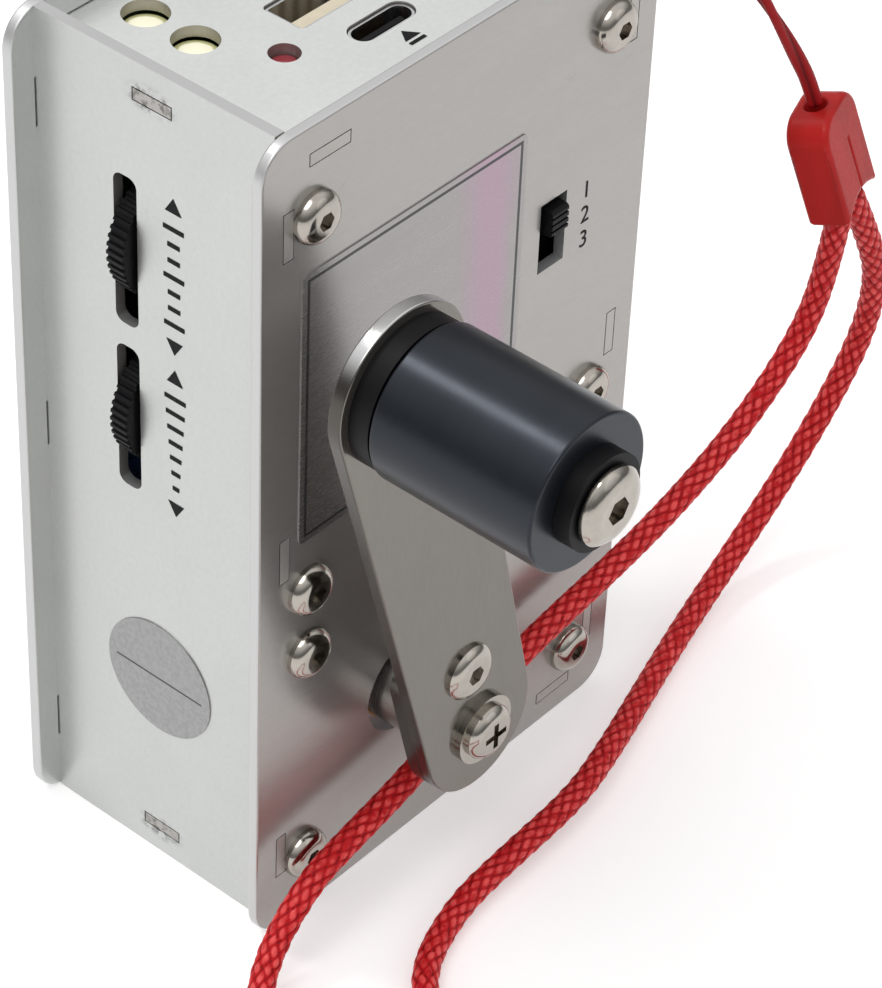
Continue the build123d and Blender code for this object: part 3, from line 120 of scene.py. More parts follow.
# Finishes of the inner parts and sockets: name, tone, roughness, metallic share, stretch of the grain,
# what else differs, and the nodes.
INNER_FINISHES = [
    ("turned_brass", (0.62, 0.45, 0.20), 0.28, 1.0, (400, 5000, 400), {},
     "board_posts gearbox_posts rear_posts front_bush rear_bush generator_pinion lanyard_eyelet"),
    ("gear_plate_sheet", (0.66, 0.67, 0.68), 0.35, 0.95, (600, 600, 2500), {},
     "front_gear_plate rear_gear_plate"),
    ("gear_moulding", (0.78, 0.75, 0.68), 0.5, 0.0, (900, 900, 900), {}, "crank_gear idler_gear"),
    ("board_lacquer", (0.02, 0.16, 0.06), 0.35, 0.0, (260, 260, 260), {"spread": 1.6, "coat": 0.3},
     "main_board port_board"),
    ("cream_tongue", (0.74, 0.66, 0.50), 0.42, 0.0, (700, 700, 700), {}, "usb_a_tongue"),
    ("drawn_shell", (0.68, 0.68, 0.69), 0.22, 1.0, (500, 500, 3000), {}, "usb_a_shell usb_c_shell"),
    ("zinc_plate", (0.58, 0.58, 0.60), 0.33, 1.0, (500, 3500, 500), {"spread": 1.3},
     "generator_can generator_end_cap speaker_magnet"),
    ("enamelled_wire", (0.52, 0.20, 0.08), 0.3, 0.8, (300, 9000, 300), {"spread": 1.6}, "generator_coils"),
    ("cell_wrap", (0.05, 0.11, 0.30), 0.3, 0.0, (300, 300, 300), {"coat": 0.4}, "battery_cell"),
    ("speaker_paper", (0.02, 0.02, 0.022), 0.8, 0.0, (2500, 2500, 2500), {"spread": 1.6}, "speaker_cone"),
]


# ---- sizes and colours that a user would change ----
def length(name, default, description):
    """A length in metres."""
    return FloatProperty(name=name, default=default, min=0, unit="LENGTH", precision=5,
                         description=description)


def power(name, default, description):
    """A lamp's power in watts."""
    return FloatProperty(name=name, default=default, min=0, unit="POWER", description=description)


def colour(name, default, description):
    """A linear colour without alpha."""
    return FloatVectorProperty(name=name, default=default, size=3, min=0, max=1, subtype="COLOR",
                               description=description)


class StrapSettings(bpy.types.PropertyGroup):
    loop_diameter: length("Loop diameter", 0.0033, "Thickness of the braided loop")
    braid_depth: length("Braid depth", 0.00030, "How far the furrows between strands sink")
    braid_length: length("Braid step", 0.0025, "Length of one facet of the braid along the cord")
    braid_strands: IntProperty(name="Strands", default=7, min=3, max=16,
                               description="Strands that run each way round the cord")
    string_width: length("String width", 0.0020, "Width of the flat string above the bead")
    string_thickness: length("String thickness", 0.0012, "Thickness of the flat string")
    cord_colour: colour("Cord", (0.56, 0.006, 0.010), "Dyed yarn")
    # The facet colour is a painted highlight on each strand's crown, and the furrow colour is painted shade
    # in the creases between strands.
    facet_highlight_colour: colour("Facet", (1.0, 0.125, 0.120), "Crown of a strand, where the yarn shines")
    furrow_colour: colour("Furrow", (0.10, 0.001, 0.002), "Shade between two strands")
    bead_colour: colour("Bead", (0.46, 0.016, 0.014), "Moulded bead")


class CaseSettings(bpy.types.PropertyGroup):
    # The top and bottom panels show this colour made lighter, as painted light from above.
    panel_colour: colour("Panels", (0.56, 0.57, 0.555), "Satin sheet of the sides, top and bottom")
    plate_colour: colour("Front plate", (0.42, 0.405, 0.385), "Polished sheet under the crank")
    # The cut-edge colour below is partly the bare metal and partly a painted highlight: the plates show it on
    # every cut edge, the panels and the arm only on cut edges that face up.
    bare_and_lit_edge_colour: colour("Cut edge", (0.60, 0.60, 0.60), "Bare edge of a cut sheet")
    mark_colour: colour("Marks", (0.012, 0.012, 0.013), "Printed marks")
    mark_lift: length("Mark lift", 0.00004, "How far the printed marks stand off the sheet")
    mark_height: length("Numeral height", 0.0024, "Height of the numerals beside the switch")


class CrankSettings(bpy.types.PropertyGroup):
    arm_colour: colour("Arm", (0.20, 0.185, 0.165), "Brushed steel of the arm")
    screw_colour: colour("Screws", (0.42, 0.39, 0.35), "Polished steel of the screws")
    grip_colour: colour("Grip", (0.017, 0.021, 0.028), "Turned grip")
    black_colour: colour("Black parts", (0.004, 0.004, 0.005), "Collar, sleeve, wheels and switch")


class StudioSettings(bpy.types.PropertyGroup):
    lens: FloatProperty(name="Lens", default=144.47, min=10, unit="CAMERA",
                        description="Focal length in millimetres")
    floor_colour: colour("Floor", (0.92, 0.92, 0.92), "Table under the object")
    key_power: power("Key", 2.3, "Lamp over the left side")
    fill_power: power("Fill", 0.40, "Lamp on the crank side")
    streak_power: power("Streak", 1.2, "Lamp that streaks the grip")


def settings(name):
    """One of the scene's groups of settings."""
    return getattr(bpy.context.scene, "generator_" + name)


# ---- meshes from arrays ----
def new_object(name, data):
    """An object of the scene, at the origin."""
    made = bpy.data.objects.new(name, data)
    bpy.context.scene.collection.objects.link(made)
    return made


def add_object(name, data):
    """A piece that stays with the case."""
    piece = new_object(name, data)
    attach(piece, "case")
    return piece


def mesh_from_arrays(name, points, quads, smooth=True):
    """A mesh from an (n, 3) array of points and an (m, 4) or (m, 3) array of corners."""
    mesh = bpy.data.meshes.new(name)
    mesh.from_pydata(points.reshape(-1, 3), [], quads)
    mesh.validate()
    mesh.update()
    mesh.polygons.foreach_set("use_smooth", np.full(len(mesh.polygons), smooth))
    return mesh


def grid_quads(rows, columns, wrap):
    """Corners of the quads of a grid of rows by columns, closed across the columns if wrap is true."""
    last = columns if wrap else columns - 1
    row, column = np.meshgrid(np.arange(rows - 1), np.arange(last), indexing="ij")
    here = row * columns + column
    beside = row * columns + (column + 1) % columns
    return np.stack([here, beside, beside + columns, here + columns], -1).reshape(-1, 4)


def surface_grid(name, points):
    """A closed surface from a (rows, columns, 3) array: quads between rows, a fan to each end's middle."""
    rows, columns = points.shape[:2]
    ring = np.arange(columns)
    after = (ring + 1) % columns
    end = (rows - 1) * columns
    first = np.stack([after, ring, np.full(columns, rows * columns)], -1)
    last = np.stack([end + ring, end + after, np.full(columns, rows * columns + 1)], -1)
    flat = np.vstack([points.reshape(-1, 3), points[0].mean(0), points[-1].mean(0)])
    faces = grid_quads(rows, columns, wrap=True).tolist() + first.tolist() + last.tolist()
    return mesh_from_arrays(name, flat, faces)


def add_value(mesh, name, values):
    """Stores one number per point, for the material to read."""
    layer = mesh.attributes.new(name, "FLOAT", "POINT")
    full = np.zeros(len(mesh.vertices), np.float32)
    full[: values.size] = values.ravel()
    layer.data.foreach_set("value", full)


def mesh_of_curve(data):
    """The mesh that a curve or a text draws."""
    holder = new_object(data.name, data)
    bpy.context.view_layer.update()
    depsgraph = bpy.context.evaluated_depsgraph_get()
    mesh = bpy.data.meshes.new_from_object(holder.evaluated_get(depsgraph))
    bpy.data.objects.remove(holder)
    return mesh


def read_values(items, name, kind=float):
    """An (n, 3) array of one property of a mesh's points or triangles."""
    values = np.empty(len(items) * 3, kind)
    items.foreach_get(name, values)
    return values.reshape(-1, 3)


def route_line(name, points, step):
    """Points a step apart along a NURBS spline that has the route's points as its control points."""
    data = bpy.data.curves.new(name, "CURVE")
    data.dimensions = "3D"
    spline = data.splines.new("NURBS")
    spline.points.add(len(points) - 1)
    spline.points.foreach_set("co", np.hstack([points, np.ones((len(points), 1))]).ravel())
    spline.order_u = 3
    spline.use_endpoint_u = True
    data.resolution_u = 24
    mesh = mesh_of_curve(data)
    line = read_values(mesh.vertices, "co")
    bpy.data.meshes.remove(mesh)
    gone = np.concatenate([[0], np.cumsum(np.linalg.norm(np.diff(line, axis=0), axis=1))])
    even = np.linspace(0, gone[-1], max(2, int(round(gone[-1] / step)) + 1))
    return np.stack([np.interp(even, gone, line[:, axis]) for axis in range(3)], -1), even


def unit(vectors):
    """Vectors brought to length one."""
    return vectors / np.linalg.norm(vectors, axis=-1, keepdims=True)


def untwisted_frames(line, reference):
    """Two directions across the line at each point that turn as little as possible along it.

    A first pair comes from the reference direction; the angle by which each pair turns against
    its neighbour is summed along the line and taken back out."""
    along = unit(np.gradient(line, axis=0))
    side = unit(np.cross(along, reference))
    other = np.cross(along, side)
    carried = side[:-1] - along[1:] * np.sum(side[:-1] * along[1:], -1, keepdims=True)
    turn = np.arctan2(np.sum(carried * other[1:], -1), np.sum(carried * side[1:], -1))
    angle = np.concatenate([[0], np.cumsum(turn)])[:, None]
    return np.cos(angle) * side + np.sin(angle) * other, np.cos(angle) * other - np.sin(angle) * side


def tube_points(line, side, other, radius, angle):
    """Points at radius(row, column) and angle(row, column) round the line."""
    across = radius * np.cos(angle)
    over = radius * np.sin(angle)
    return line[:, None] + side[:, None] * across[..., None] + other[:, None] * over[..., None]


# ---- shader node groups and materials ----
class Graph:
    """The nodes of one material or group."""

    def __init__(self, tree):
        self.tree = tree

    def add(self, kind, inputs=None, **options):
        """Adds a node, sets its options and feeds its inputs."""
        node = self.tree.nodes.new(kind)
        for name, value in options.items():
            setattr(node, name, value)
        for name, value in (inputs or {}).items():
            self.feed(node.inputs[name], value)
        return node

    def feed(self, socket, value):
        """Links a socket, or sets its own number, vector or colour."""
        if isinstance(value, bpy.types.NodeSocket):
            self.tree.links.new(value, socket)
        elif isinstance(value, (tuple, list)) and socket.type == "RGBA" and len(value) == 3:
            socket.default_value = (*value, 1)
        else:
            socket.default_value = value

    def math(self, operation, first, second=0.0, clamp=False):
        inputs = {0: first} if operation in ("ABSOLUTE", "FRACT") else {0: first, 1: second}
        return self.add("ShaderNodeMath", inputs, operation=operation, use_clamp=clamp).outputs[0]

    def vector(self, operation, first, second=None):
        """A vector, or one number where the operation gives one."""
        inputs = {0: first} if second is None else {0: first, 1: second}
        outputs = self.add("ShaderNodeVectorMath", inputs, operation=operation).outputs
        return outputs["Value" if operation in ("LENGTH", "DOT_PRODUCT") else "Vector"]

    def ramp(self, value, low, high, out_low=0.0, out_high=1.0):
        """A smooth step from one value to another."""
        inputs = {"Value": value, "From Min": low, "From Max": high, "To Min": out_low, "To Max": out_high}
        return self.add("ShaderNodeMapRange", inputs, interpolation_type="SMOOTHSTEP").outputs["Result"]

    def mix(self, factor, first, second):
        """A mix of two colours."""
        node = self.add("ShaderNodeMix", data_type="RGBA")
        colours = [socket for socket in node.inputs if socket.type == "RGBA"]
        self.feed(node.inputs["Factor"], factor)
        self.feed(colours[0], first)
        self.feed(colours[1], second)
        return [socket for socket in node.outputs if socket.type == "RGBA"][0]

    def noise(self, vector, scale, detail=2.0, roughness=0.5):
        inputs = {"Vector": vector, "Scale": scale, "Detail": detail, "Roughness": roughness}
        return self.add("ShaderNodeTexNoise", inputs).outputs[0]

    def here(self):
        """Object coordinates."""
        return self.add("ShaderNodeTexCoord").outputs["Object"]

    def parts(self, vector):
        """The three numbers of a vector."""
        return self.add("ShaderNodeSeparateXYZ", {0: vector}).outputs

    def place(self, stretch):
        """Object coordinates, stretched."""
        return self.add("ShaderNodeMapping", {"Vector": self.here(), "Scale": stretch}).outputs[0]

    def attribute(self, name):
        """A number that the mesh stores for each point."""
        return self.add("ShaderNodeAttribute", attribute_name=name).outputs["Fac"]


def node_group(name, inputs, outputs, build):
    """A shader node group with named sockets; build gets its graph and inputs, and returns its outputs."""
    if name in bpy.data.node_groups:
        return bpy.data.node_groups[name]
    tree = bpy.data.node_groups.new(name, "ShaderNodeTree")
    for socket, kind in inputs:
        tree.interface.new_socket(name=socket, in_out="INPUT", socket_type="NodeSocket" + kind)
    for socket, kind in outputs:
        tree.interface.new_socket(name=socket, in_out="OUTPUT", socket_type="NodeSocket" + kind)
    graph = Graph(tree)
    entry = tree.nodes.new("NodeGroupInput")
    leave = tree.nodes.new("NodeGroupOutput")
    made = build(graph, entry.outputs)
    for socket, value in made.items():
        graph.feed(leave.inputs[socket], value)
    return tree


def grain_group():
    """Fine and broad variation of a finish: colour, roughness and height."""
    def build(g, inputs):
        fine = g.noise(inputs["Vector"], 1.0, 3.0, 0.6)
        stretched = g.vector("MULTIPLY", inputs["Vector"], (0.06, 0.06, 0.06))
        broad = g.noise(stretched, 1.0, 2.0, 0.5)
        both = g.math("ADD", g.math("MULTIPLY", fine, 0.6), g.math("MULTIPLY", broad, 0.4))
        swing = g.math("MULTIPLY", g.math("SUBTRACT", both, 0.5), inputs["Spread"])
        tinted = g.mix(g.math("ADD", swing, 0.5, True), inputs["Dark"], inputs["Light"])
        rough = g.math("ADD", inputs["Roughness"], g.math("MULTIPLY", swing, inputs["Unevenness"]))
        return {"Colour": tinted, "Roughness": rough, "Height": fine}
    return node_group("finish_grain",
                      [("Vector", "Vector"), ("Dark", "Color"), ("Light", "Color"), ("Spread", "Float"),
                       ("Roughness", "Float"), ("Unevenness", "Float")],
                      [("Colour", "Color"), ("Roughness", "Float"), ("Height", "Float")], build)


def wear_group():
    """Small worn or dusty patches: 1 where the noise passes a threshold."""
    def build(g, inputs):
        coarse = g.noise(inputs["Vector"], 1.0, 4.0, 0.65)
        fine = g.noise(inputs["Vector"], 7.0, 2.0, 0.5)
        patches = g.math("ADD", g.math("MULTIPLY", coarse, 0.75), g.math("MULTIPLY", fine, 0.25))
        return {"Mask": g.ramp(patches, inputs["Start"], inputs["Full"])}
    return node_group("worn_patches", [("Vector", "Vector"), ("Start", "Float"), ("Full", "Float")],
                      [("Mask", "Float")], build)


def cut_edge_group():
    """1 on the narrow faces of a sheet, whose normal lies across the sheet's thin way."""
    def build(g, inputs):
        facing = g.vector("DOT_PRODUCT", inputs["Normal"], inputs["Thin Way"])
        return {"Mask": g.ramp(g.math("ABSOLUTE", facing), 0.85, 0.55)}
    return node_group("cut_edges", [("Normal", "Vector"), ("Thin Way", "Vector")], [("Mask", "Float")], build)


def new_material(name):
    """A material, its graph and its shader."""
    material = bpy.data.materials.new(name)
    material.use_nodes = True
    return material, Graph(material.node_tree), material.node_tree.nodes["Principled BSDF"]


def use(g, group, inputs):
    """Places a node group and feeds it."""
    return g.add("ShaderNodeGroup", inputs, node_tree=group).outputs


def use_grain(g, vector, dark, light, spread, roughness, unevenness):
    """Places the shared grain."""
    return use(g, grain_group(), {"Vector": vector, "Dark": dark, "Light": light, "Spread": spread,
                                  "Roughness": roughness, "Unevenness": unevenness})


def use_wear(g, scale, start, full):
    """Places the shared worn patches."""
    vector = g.place((scale, scale, scale))
    return use(g, wear_group(), {"Vector": vector, "Start": start, "Full": full})["Mask"]


def finish(g, shader, tone, roughness, **values):
    """Feeds colour and roughness, and sets the shader's own sockets where a value is the same all over."""
    g.feed(shader.inputs["Base Color"], tone)
    g.feed(shader.inputs["Roughness"], roughness)
    for name, value in values.items():
        shader.inputs[name.replace("_", " ")].default_value = value


def bump(g, shader, height, strength, distance):
    """Lets a height turn the shader's normal."""
    made = g.add("ShaderNodeBump", {"Height": height, "Strength": strength, "Distance": distance})
    g.feed(shader.inputs["Normal"], made.outputs[0])


def shade(value, factor):
    """A colour made darker or lighter by a factor."""
    return tuple(min(1.0, channel * factor) for channel in value)


def smudges(g, tone):
    """Dark rubbed marks round the tab ends on the left side, over a colour."""
    total = 0.0
    for level in (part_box("top_panel")[1].z - 0.0005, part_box("bottom_panel")[0].z + 0.0003):
        offset = g.vector("SUBTRACT", g.here(), (LEFT, FRONT + 0.0186, level))
        away = g.vector("LENGTH", g.vector("MULTIPLY", offset, (1, 0.55, 1.1)))
        total = g.math("ADD", total, g.ramp(away, 0.0024, 0.0009))
    rubbed = g.math("MULTIPLY", total, use_wear(g, 900, 0.44, 0.60), True)
    return g.mix(g.math("MULTIPLY", rubbed, 0.85), tone, (0.09, 0.085, 0.08))


def sheet_material(name, tone, thin_way, roughness, stretch, wear, spread=0.9, shaded_edge_tone=None,
                   rubbed=False, metallic=0.9):
    """Rolled sheet metal: fine grain, bare cut edges and a few worn patches. Where an edge tone is given, cut
    edges that face up keep the lighter edge colour as a painted highlight, and the others take the edge tone
    as painted shade.
    """
    material, g, shader = new_material(name)
    grain = use_grain(g, g.place(stretch), shade(tone, 0.86), shade(tone, 1.12), spread, roughness, 0.10)
    normal = g.add("ShaderNodeTexCoord").outputs["Normal"]
    edge = use(g, cut_edge_group(), {"Normal": normal, "Thin Way": thin_way})["Mask"]
    # Painted light on the cut edges: those that face up get the lighter edge colour as a painted highlight,
    # the others get the edge tone as painted shade.
    lit_upward = g.ramp(g.vector("DOT_PRODUCT", normal, (0, 0, 1)), 0.5, 0.8)
    cut = tuple(settings("case").bare_and_lit_edge_colour)
    bare = g.mix(edge, grain["Colour"], g.mix(lit_upward, shaded_edge_tone or cut, cut))
    worn = g.mix(g.math("MULTIPLY", use_wear(g, 260, 0.66, 0.72), wear), bare, shade(tone, 0.55))
    rough = g.math("ADD", grain["Roughness"], g.math("MULTIPLY", edge, 0.12))
    finish(g, shader, smudges(g, worn) if rubbed else worn, rough, Metallic=metallic)
    bump(g, shader, grain["Height"], 0.25, 0.00002)
    return material


def grain_material(name, tone, roughness, metallic, stretch, spread=0.8, height=0.00002, coat=0.0,
                   specular=0.5):
    """A plain finish with its grain: turned, moulded or brushed by the stretch of its coordinates."""
    material, g, shader = new_material(name)
    grain = use_grain(g, g.place(stretch), shade(tone, 0.78), shade(tone, 1.2), spread, roughness, 0.12)
    finish(g, shader, grain["Colour"], grain["Roughness"], Metallic=metallic, Coat_Weight=coat,
           Specular_IOR_Level=specular)
    bump(g, shader, grain["Height"], 0.3, height)
    return material


def turned_material(name, tone, roughness, metallic, middle):
    """A turned finish about the Y axis: rings on the ends, fine rings along the side."""
    material, g, shader = new_material(name)
    offset = g.vector("SUBTRACT", g.here(), (middle.x, 0, middle.z))
    radius = g.vector("LENGTH", g.vector("MULTIPLY", offset, (1, 0, 1)))
    rings = g.add("ShaderNodeCombineXYZ", {"X": g.math("MULTIPLY", radius, 9000.0),
                                           "Y": g.math("MULTIPLY", g.parts(offset)["Y"], 5200.0)}).outputs[0]
    grain = use_grain(g, rings, shade(tone, 0.75), shade(tone, 1.25), 0.9, roughness, 0.15)
    blotch = g.ramp(g.noise(g.place((90, 90, 90)), 1.0, 3.0), 0.35, 0.75, 0.0, 0.35)
    blotched = g.mix(blotch, grain["Colour"], shade(tone, 1.5))
    finish(g, shader, blotched, grain["Roughness"], Metallic=metallic)
    bump(g, shader, grain["Height"], 0.2, 0.00002)
    return material


def dress(material, names):
    """Gives CAD nodes or pieces a material."""
    for name in names.split():
        piece = NODES.get(name) or bpy.data.objects[name]
        piece.data.materials.clear()
        piece.data.materials.append(material)
        piece.data.polygons.foreach_set("material_index", np.zeros(len(piece.data.polygons), np.int32))


# ---- strap ----
class GENERATOR_OT_strap_loop(bpy.types.Operator):
    """The braided loop: a tube whose skin is a lattice of bulging facets"""
    bl_idname = "generator.strap_loop"
    bl_label = "Strap loop"

    def execute(self, context):
        choice = settings("strap")
        line, gone = route_line("loop_route", LOOP_POINTS, 0.00034)
        side, other = untwisted_frames(line, np.array([0.35, 0.80, 0.30]))
        around = 56
        angle = np.linspace(0, 2 * np.pi, around, endpoint=False)[None]
        relief = self.braid_relief(gone[:, None], angle)
        full = choice.loop_diameter / 2
        radius = full - choice.braid_depth * (1 - relief)
        points = tube_points(line, side, other, radius, np.broadcast_to(angle, relief.shape))
        mesh = surface_grid("strap_loop_braid", points)
        add_value(mesh, "relief", relief)
        add_value(mesh, "yarn", self.yarn_phase(gone[:, None], angle))
        piece = add_object("strap_loop_braid", mesh)
        dress(cord_material("braided_cord", 0.85), "strap_loop_braid")
        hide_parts("strap_loop")
        return {"FINISHED"}

    def lattice(self, gone, angle):
        """The two slanting coordinates of the braid: each strand is one step of one of them."""
        choice = settings("strap")
        turns = choice.braid_strands * angle / (2 * np.pi)
        steps = gone / choice.braid_length
        return turns + steps, turns - steps

    def braid_relief(self, gone, angle):
        """Height of a facet from 0 in the furrow to 1 on its crown.

        A facet is one cell of the lattice. In every second cell the strand of one family lies on
        top, so it is round across that family and nearly level along it."""
        first, second = self.lattice(gone, angle)
        over = (np.floor(first) + np.floor(second)) % 2 < 1
        across = np.where(over, first % 1, second % 1)
        along = np.where(over, second % 1, first % 1)
        crown = np.sin(np.pi * across) ** 0.55
        return crown * (0.55 + 0.45 * np.sin(np.pi * along) ** 0.7)

    def yarn_phase(self, gone, angle):
        """Place across the strand, in yarns, for the fine lines of the yarn."""
        first, second = self.lattice(gone, angle)
        over = (np.floor(first) + np.floor(second)) % 2 < 1
        return np.where(over, first, second) * 5


def cord_material(name, shine, depth=1.0):
    """Dyed yarn with fine lines along each strand; its darker furrows are painted shade and its paler crowns
    are a painted highlight.
    """
    choice = settings("strap")
    dye = shade(choice.cord_colour, depth)
    material, g, shader = new_material(name)
    relief = g.attribute("relief")
    lines = g.math("ABSOLUTE", g.math("SUBTRACT", g.math("FRACT", g.attribute("yarn")), 0.5))
    blotch = g.noise(g.place((700, 700, 700)), 1.0, 2.0)
    # Painted highlight on the crowns of the strands and painted shade in the furrows between them.
    crown = g.math("MULTIPLY", g.ramp(relief, 0.55, 0.90), g.ramp(blotch, 0.25, 0.65))
    furrow_shaded = g.mix(g.ramp(relief, 0.05, 0.62), shade(choice.furrow_colour, depth), dye)
    shown = g.mix(g.math("MULTIPLY", crown, shine), furrow_shaded, shade(choice.facet_highlight_colour, depth))
    lined = g.mix(g.math("MULTIPLY", lines, 0.5), shown, dye)
    finish(g, shader, lined, g.ramp(relief, 0.4, 1.0, 0.55, 0.28), Specular_IOR_Level=0.20)
    height = g.math("ADD", g.math("MULTIPLY", lines, 0.6), g.math("MULTIPLY", blotch, 0.4))
    bump(g, shader, height, 0.5, 0.00006)
    return material


class GENERATOR_OT_strap_string(bpy.types.Operator):
    """The flat string from the case to the bead: two thin cords side by side, with half a twist"""
    bl_idname = "generator.strap_string"
    bl_label = "Strap string"

    def execute(self, context):
        choice = settings("strap")
        line, gone = route_line("string_route", STRING_POINTS, 0.00025)
        side, other = untwisted_frames(line, np.array([0.1, 1.0, 0.1]))
        share = gone[:, None] / gone[-1]
        twist = 0.5 + np.pi * np.clip((share - 0.55) / 0.35, 0, 1)
        angle = np.linspace(0, 2 * np.pi, 40, endpoint=False)[None]
        radius = self.two_lobes(angle)
        fibres = 1 - 0.05 * np.abs(np.sin(angle * 9 + gone[:, None] * 3500))
        whole = np.broadcast_to(radius * fibres, (len(gone), 40))
        points = tube_points(line, side, other, whole, angle + twist)
        mesh = surface_grid("strap_string_cords", points)
        # The relief falls towards the waist between the two cords, so the waist gets the painted furrow
        # shade.
        middle = np.broadcast_to(np.abs(np.cos(angle)), whole.shape)
        add_value(mesh, "relief", 0.18 + 0.5 * middle)
        add_value(mesh, "yarn", np.broadcast_to(angle * 6 + gone[:, None] * 2400, whole.shape))
        piece = add_object("strap_string_cords", mesh)
        dress(cord_material("thin_cord", 0.15, 0.62), "strap_string_cords")
        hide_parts("strap_string")
        return {"FINISHED"}

    def two_lobes(self, angle):
        """Radius r = t + (w - t)|cos a|^1.6, with w half the width and t the half thickness of the waist."""
        choice = settings("strap")
        waist = choice.string_thickness / 2 * 0.82
        return waist + (choice.string_width / 2 - waist) * np.abs(np.cos(angle)) ** 1.6


class GENERATOR_OT_bead(bpy.types.Operator):
    """The moulded bead: a rounded block with a hole on top, a groove and an arch over the two legs"""
    bl_idname = "generator.bead"
    bl_label = "Strap bead"

    width: length("Width", 0.0097, "Across the two legs")
    thickness: length("Thickness", 0.0055, "From face to face")
    shoulder: length("Shoulder", 0.0033, "Radius of the two top corners")
    rim: length("Rim", 0.0007, "Rounding between the faces and the wall")
    arch: length("Arch", 0.0013, "Rise of the lower edge over the legs")
    lift: length("Lift", 0.0010, "Height of the lower edge over the legs' mouths")

    def execute(self, context):
        axis = (BEAD_TOP - BEAD_BOTTOM).normalized()
        across = (BEAD_SIDE - axis * BEAD_SIDE.dot(axis)).normalized()
        out = across.cross(axis)
        foot = BEAD_BOTTOM + axis * self.lift
        flat, quads = self.block((BEAD_TOP - foot).length)
        basis = np.array([across, out, axis])
        mesh = mesh_from_arrays("bead", np.array(foot) + flat @ basis, quads)
        piece = add_object("bead", mesh)
        dress(bead_material(), "bead")
        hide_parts("strap_bead")
        return {"FINISHED"}

    def outline_heights(self, x, tall):
        """Lower and upper edge of a face at x: an arch z = a(1 - (x/w)^2) below, two quarter rounds above."""
        half = self.width / 2
        low = self.arch * np.clip(1 - (x / (half * 0.86)) ** 2, 0, 1)
        beyond = np.clip(np.abs(x) - (half - self.shoulder), 0, self.shoulder)
        return low, tall - self.shoulder + np.sqrt(self.shoulder ** 2 - beyond ** 2)

    def block(self, tall):
        """Two faces on one grid each, and a wall of rows between their rims.

        A face stands at y = t/2 - r + sqrt(r^2 - (r - d)^2), with d the distance to the rim, less
        a groove exp(-((x - g)/w)^2). The wall's top sinks into a round hole for the string."""
        rows, columns, wall_rows = 80, 121, 34
        x = np.sin(np.linspace(-np.pi / 2, np.pi / 2, columns))[None] * self.width / 2
        low, high = self.outline_heights(x, tall)
        z = low + np.linspace(0, 1, rows)[:, None] * (high - low)
        x = np.broadcast_to(x, z.shape)
        index = np.arange(rows * columns).reshape(rows, columns)
        loop = np.concatenate([index[0, :-1], index[:-1, -1], index[-1, :0:-1], index[:0:-1, 0]])
        rim_x, rim_z = x.ravel()[loop], z.ravel()[loop]
        away = np.hypot(x.ravel()[:, None] - rim_x, z.ravel()[:, None] - rim_z).min(1)
        inward = np.clip(self.rim - away, 0, self.rim)
        y = self.thickness / 2 - self.rim + np.sqrt(self.rim ** 2 - inward ** 2)
        place, width, depth = 0.0005, 0.00015, 0.0005
        groove = np.exp(-((x.ravel() - place) / width) ** 2)
        y = y - depth * groove * np.clip((0.66 - z.ravel() / tall) / 0.03, 0, 1)
        front = np.stack([x.ravel(), y, z.ravel()], -1)
        back = front * (1, -1, 1)
        share = np.linspace(0, 1, wall_rows)[1:-1, None, None]
        wall = front[loop][None] * (1 - share) + back[loop][None] * share
        hole_radius, hole_depth = 0.0015, 0.0022
        hole = np.hypot(wall[..., 0], wall[..., 1]) / hole_radius
        wall[..., 2] -= hole_depth * np.clip((1 - hole) * 3, 0, 1) * (wall[..., 2] > tall / 2)
        quads = grid_quads(rows, columns, wrap=False)
        count = rows * columns
        between = 2 * count + np.arange(wall[..., 0].size).reshape(wall_rows - 2, -1)
        rings = np.vstack([loop[None], between, (loop + count)[None]])
        here, after = rings[:-1], rings[1:]
        strip = np.stack([after, np.roll(after, -1, 1), np.roll(here, -1, 1), here], -1).reshape(-1, 4)
        faces = np.vstack([quads, quads[:, ::-1] + count, strip])
        return np.vstack([front, back, wall.reshape(-1, 3)]), faces.tolist()


def bead_material():
    """Moulded gloss plastic with a faint flow texture and fine specks in its roughness."""
    choice = settings("strap")
    tone = tuple(choice.bead_colour)
    material, g, shader = new_material("moulded_bead")
    flow = g.noise(g.place((220, 220, 60)), 1.0, 3.0)
    speck = g.noise(g.place((2600, 2600, 2600)), 1.0, 1.0)
    streaked = g.mix(g.ramp(flow, 0.3, 0.7), shade(tone, 0.86), shade(tone, 1.15))
    finish(g, shader, streaked, g.ramp(speck, 0.3, 0.7, 0.28, 0.42), Specular_IOR_Level=0.18,
           Subsurface_Weight=0.12, Subsurface_Radius=(0.003, 0.0008, 0.0006))
    bump(g, shader, speck, 0.12, 0.00002)
    return material


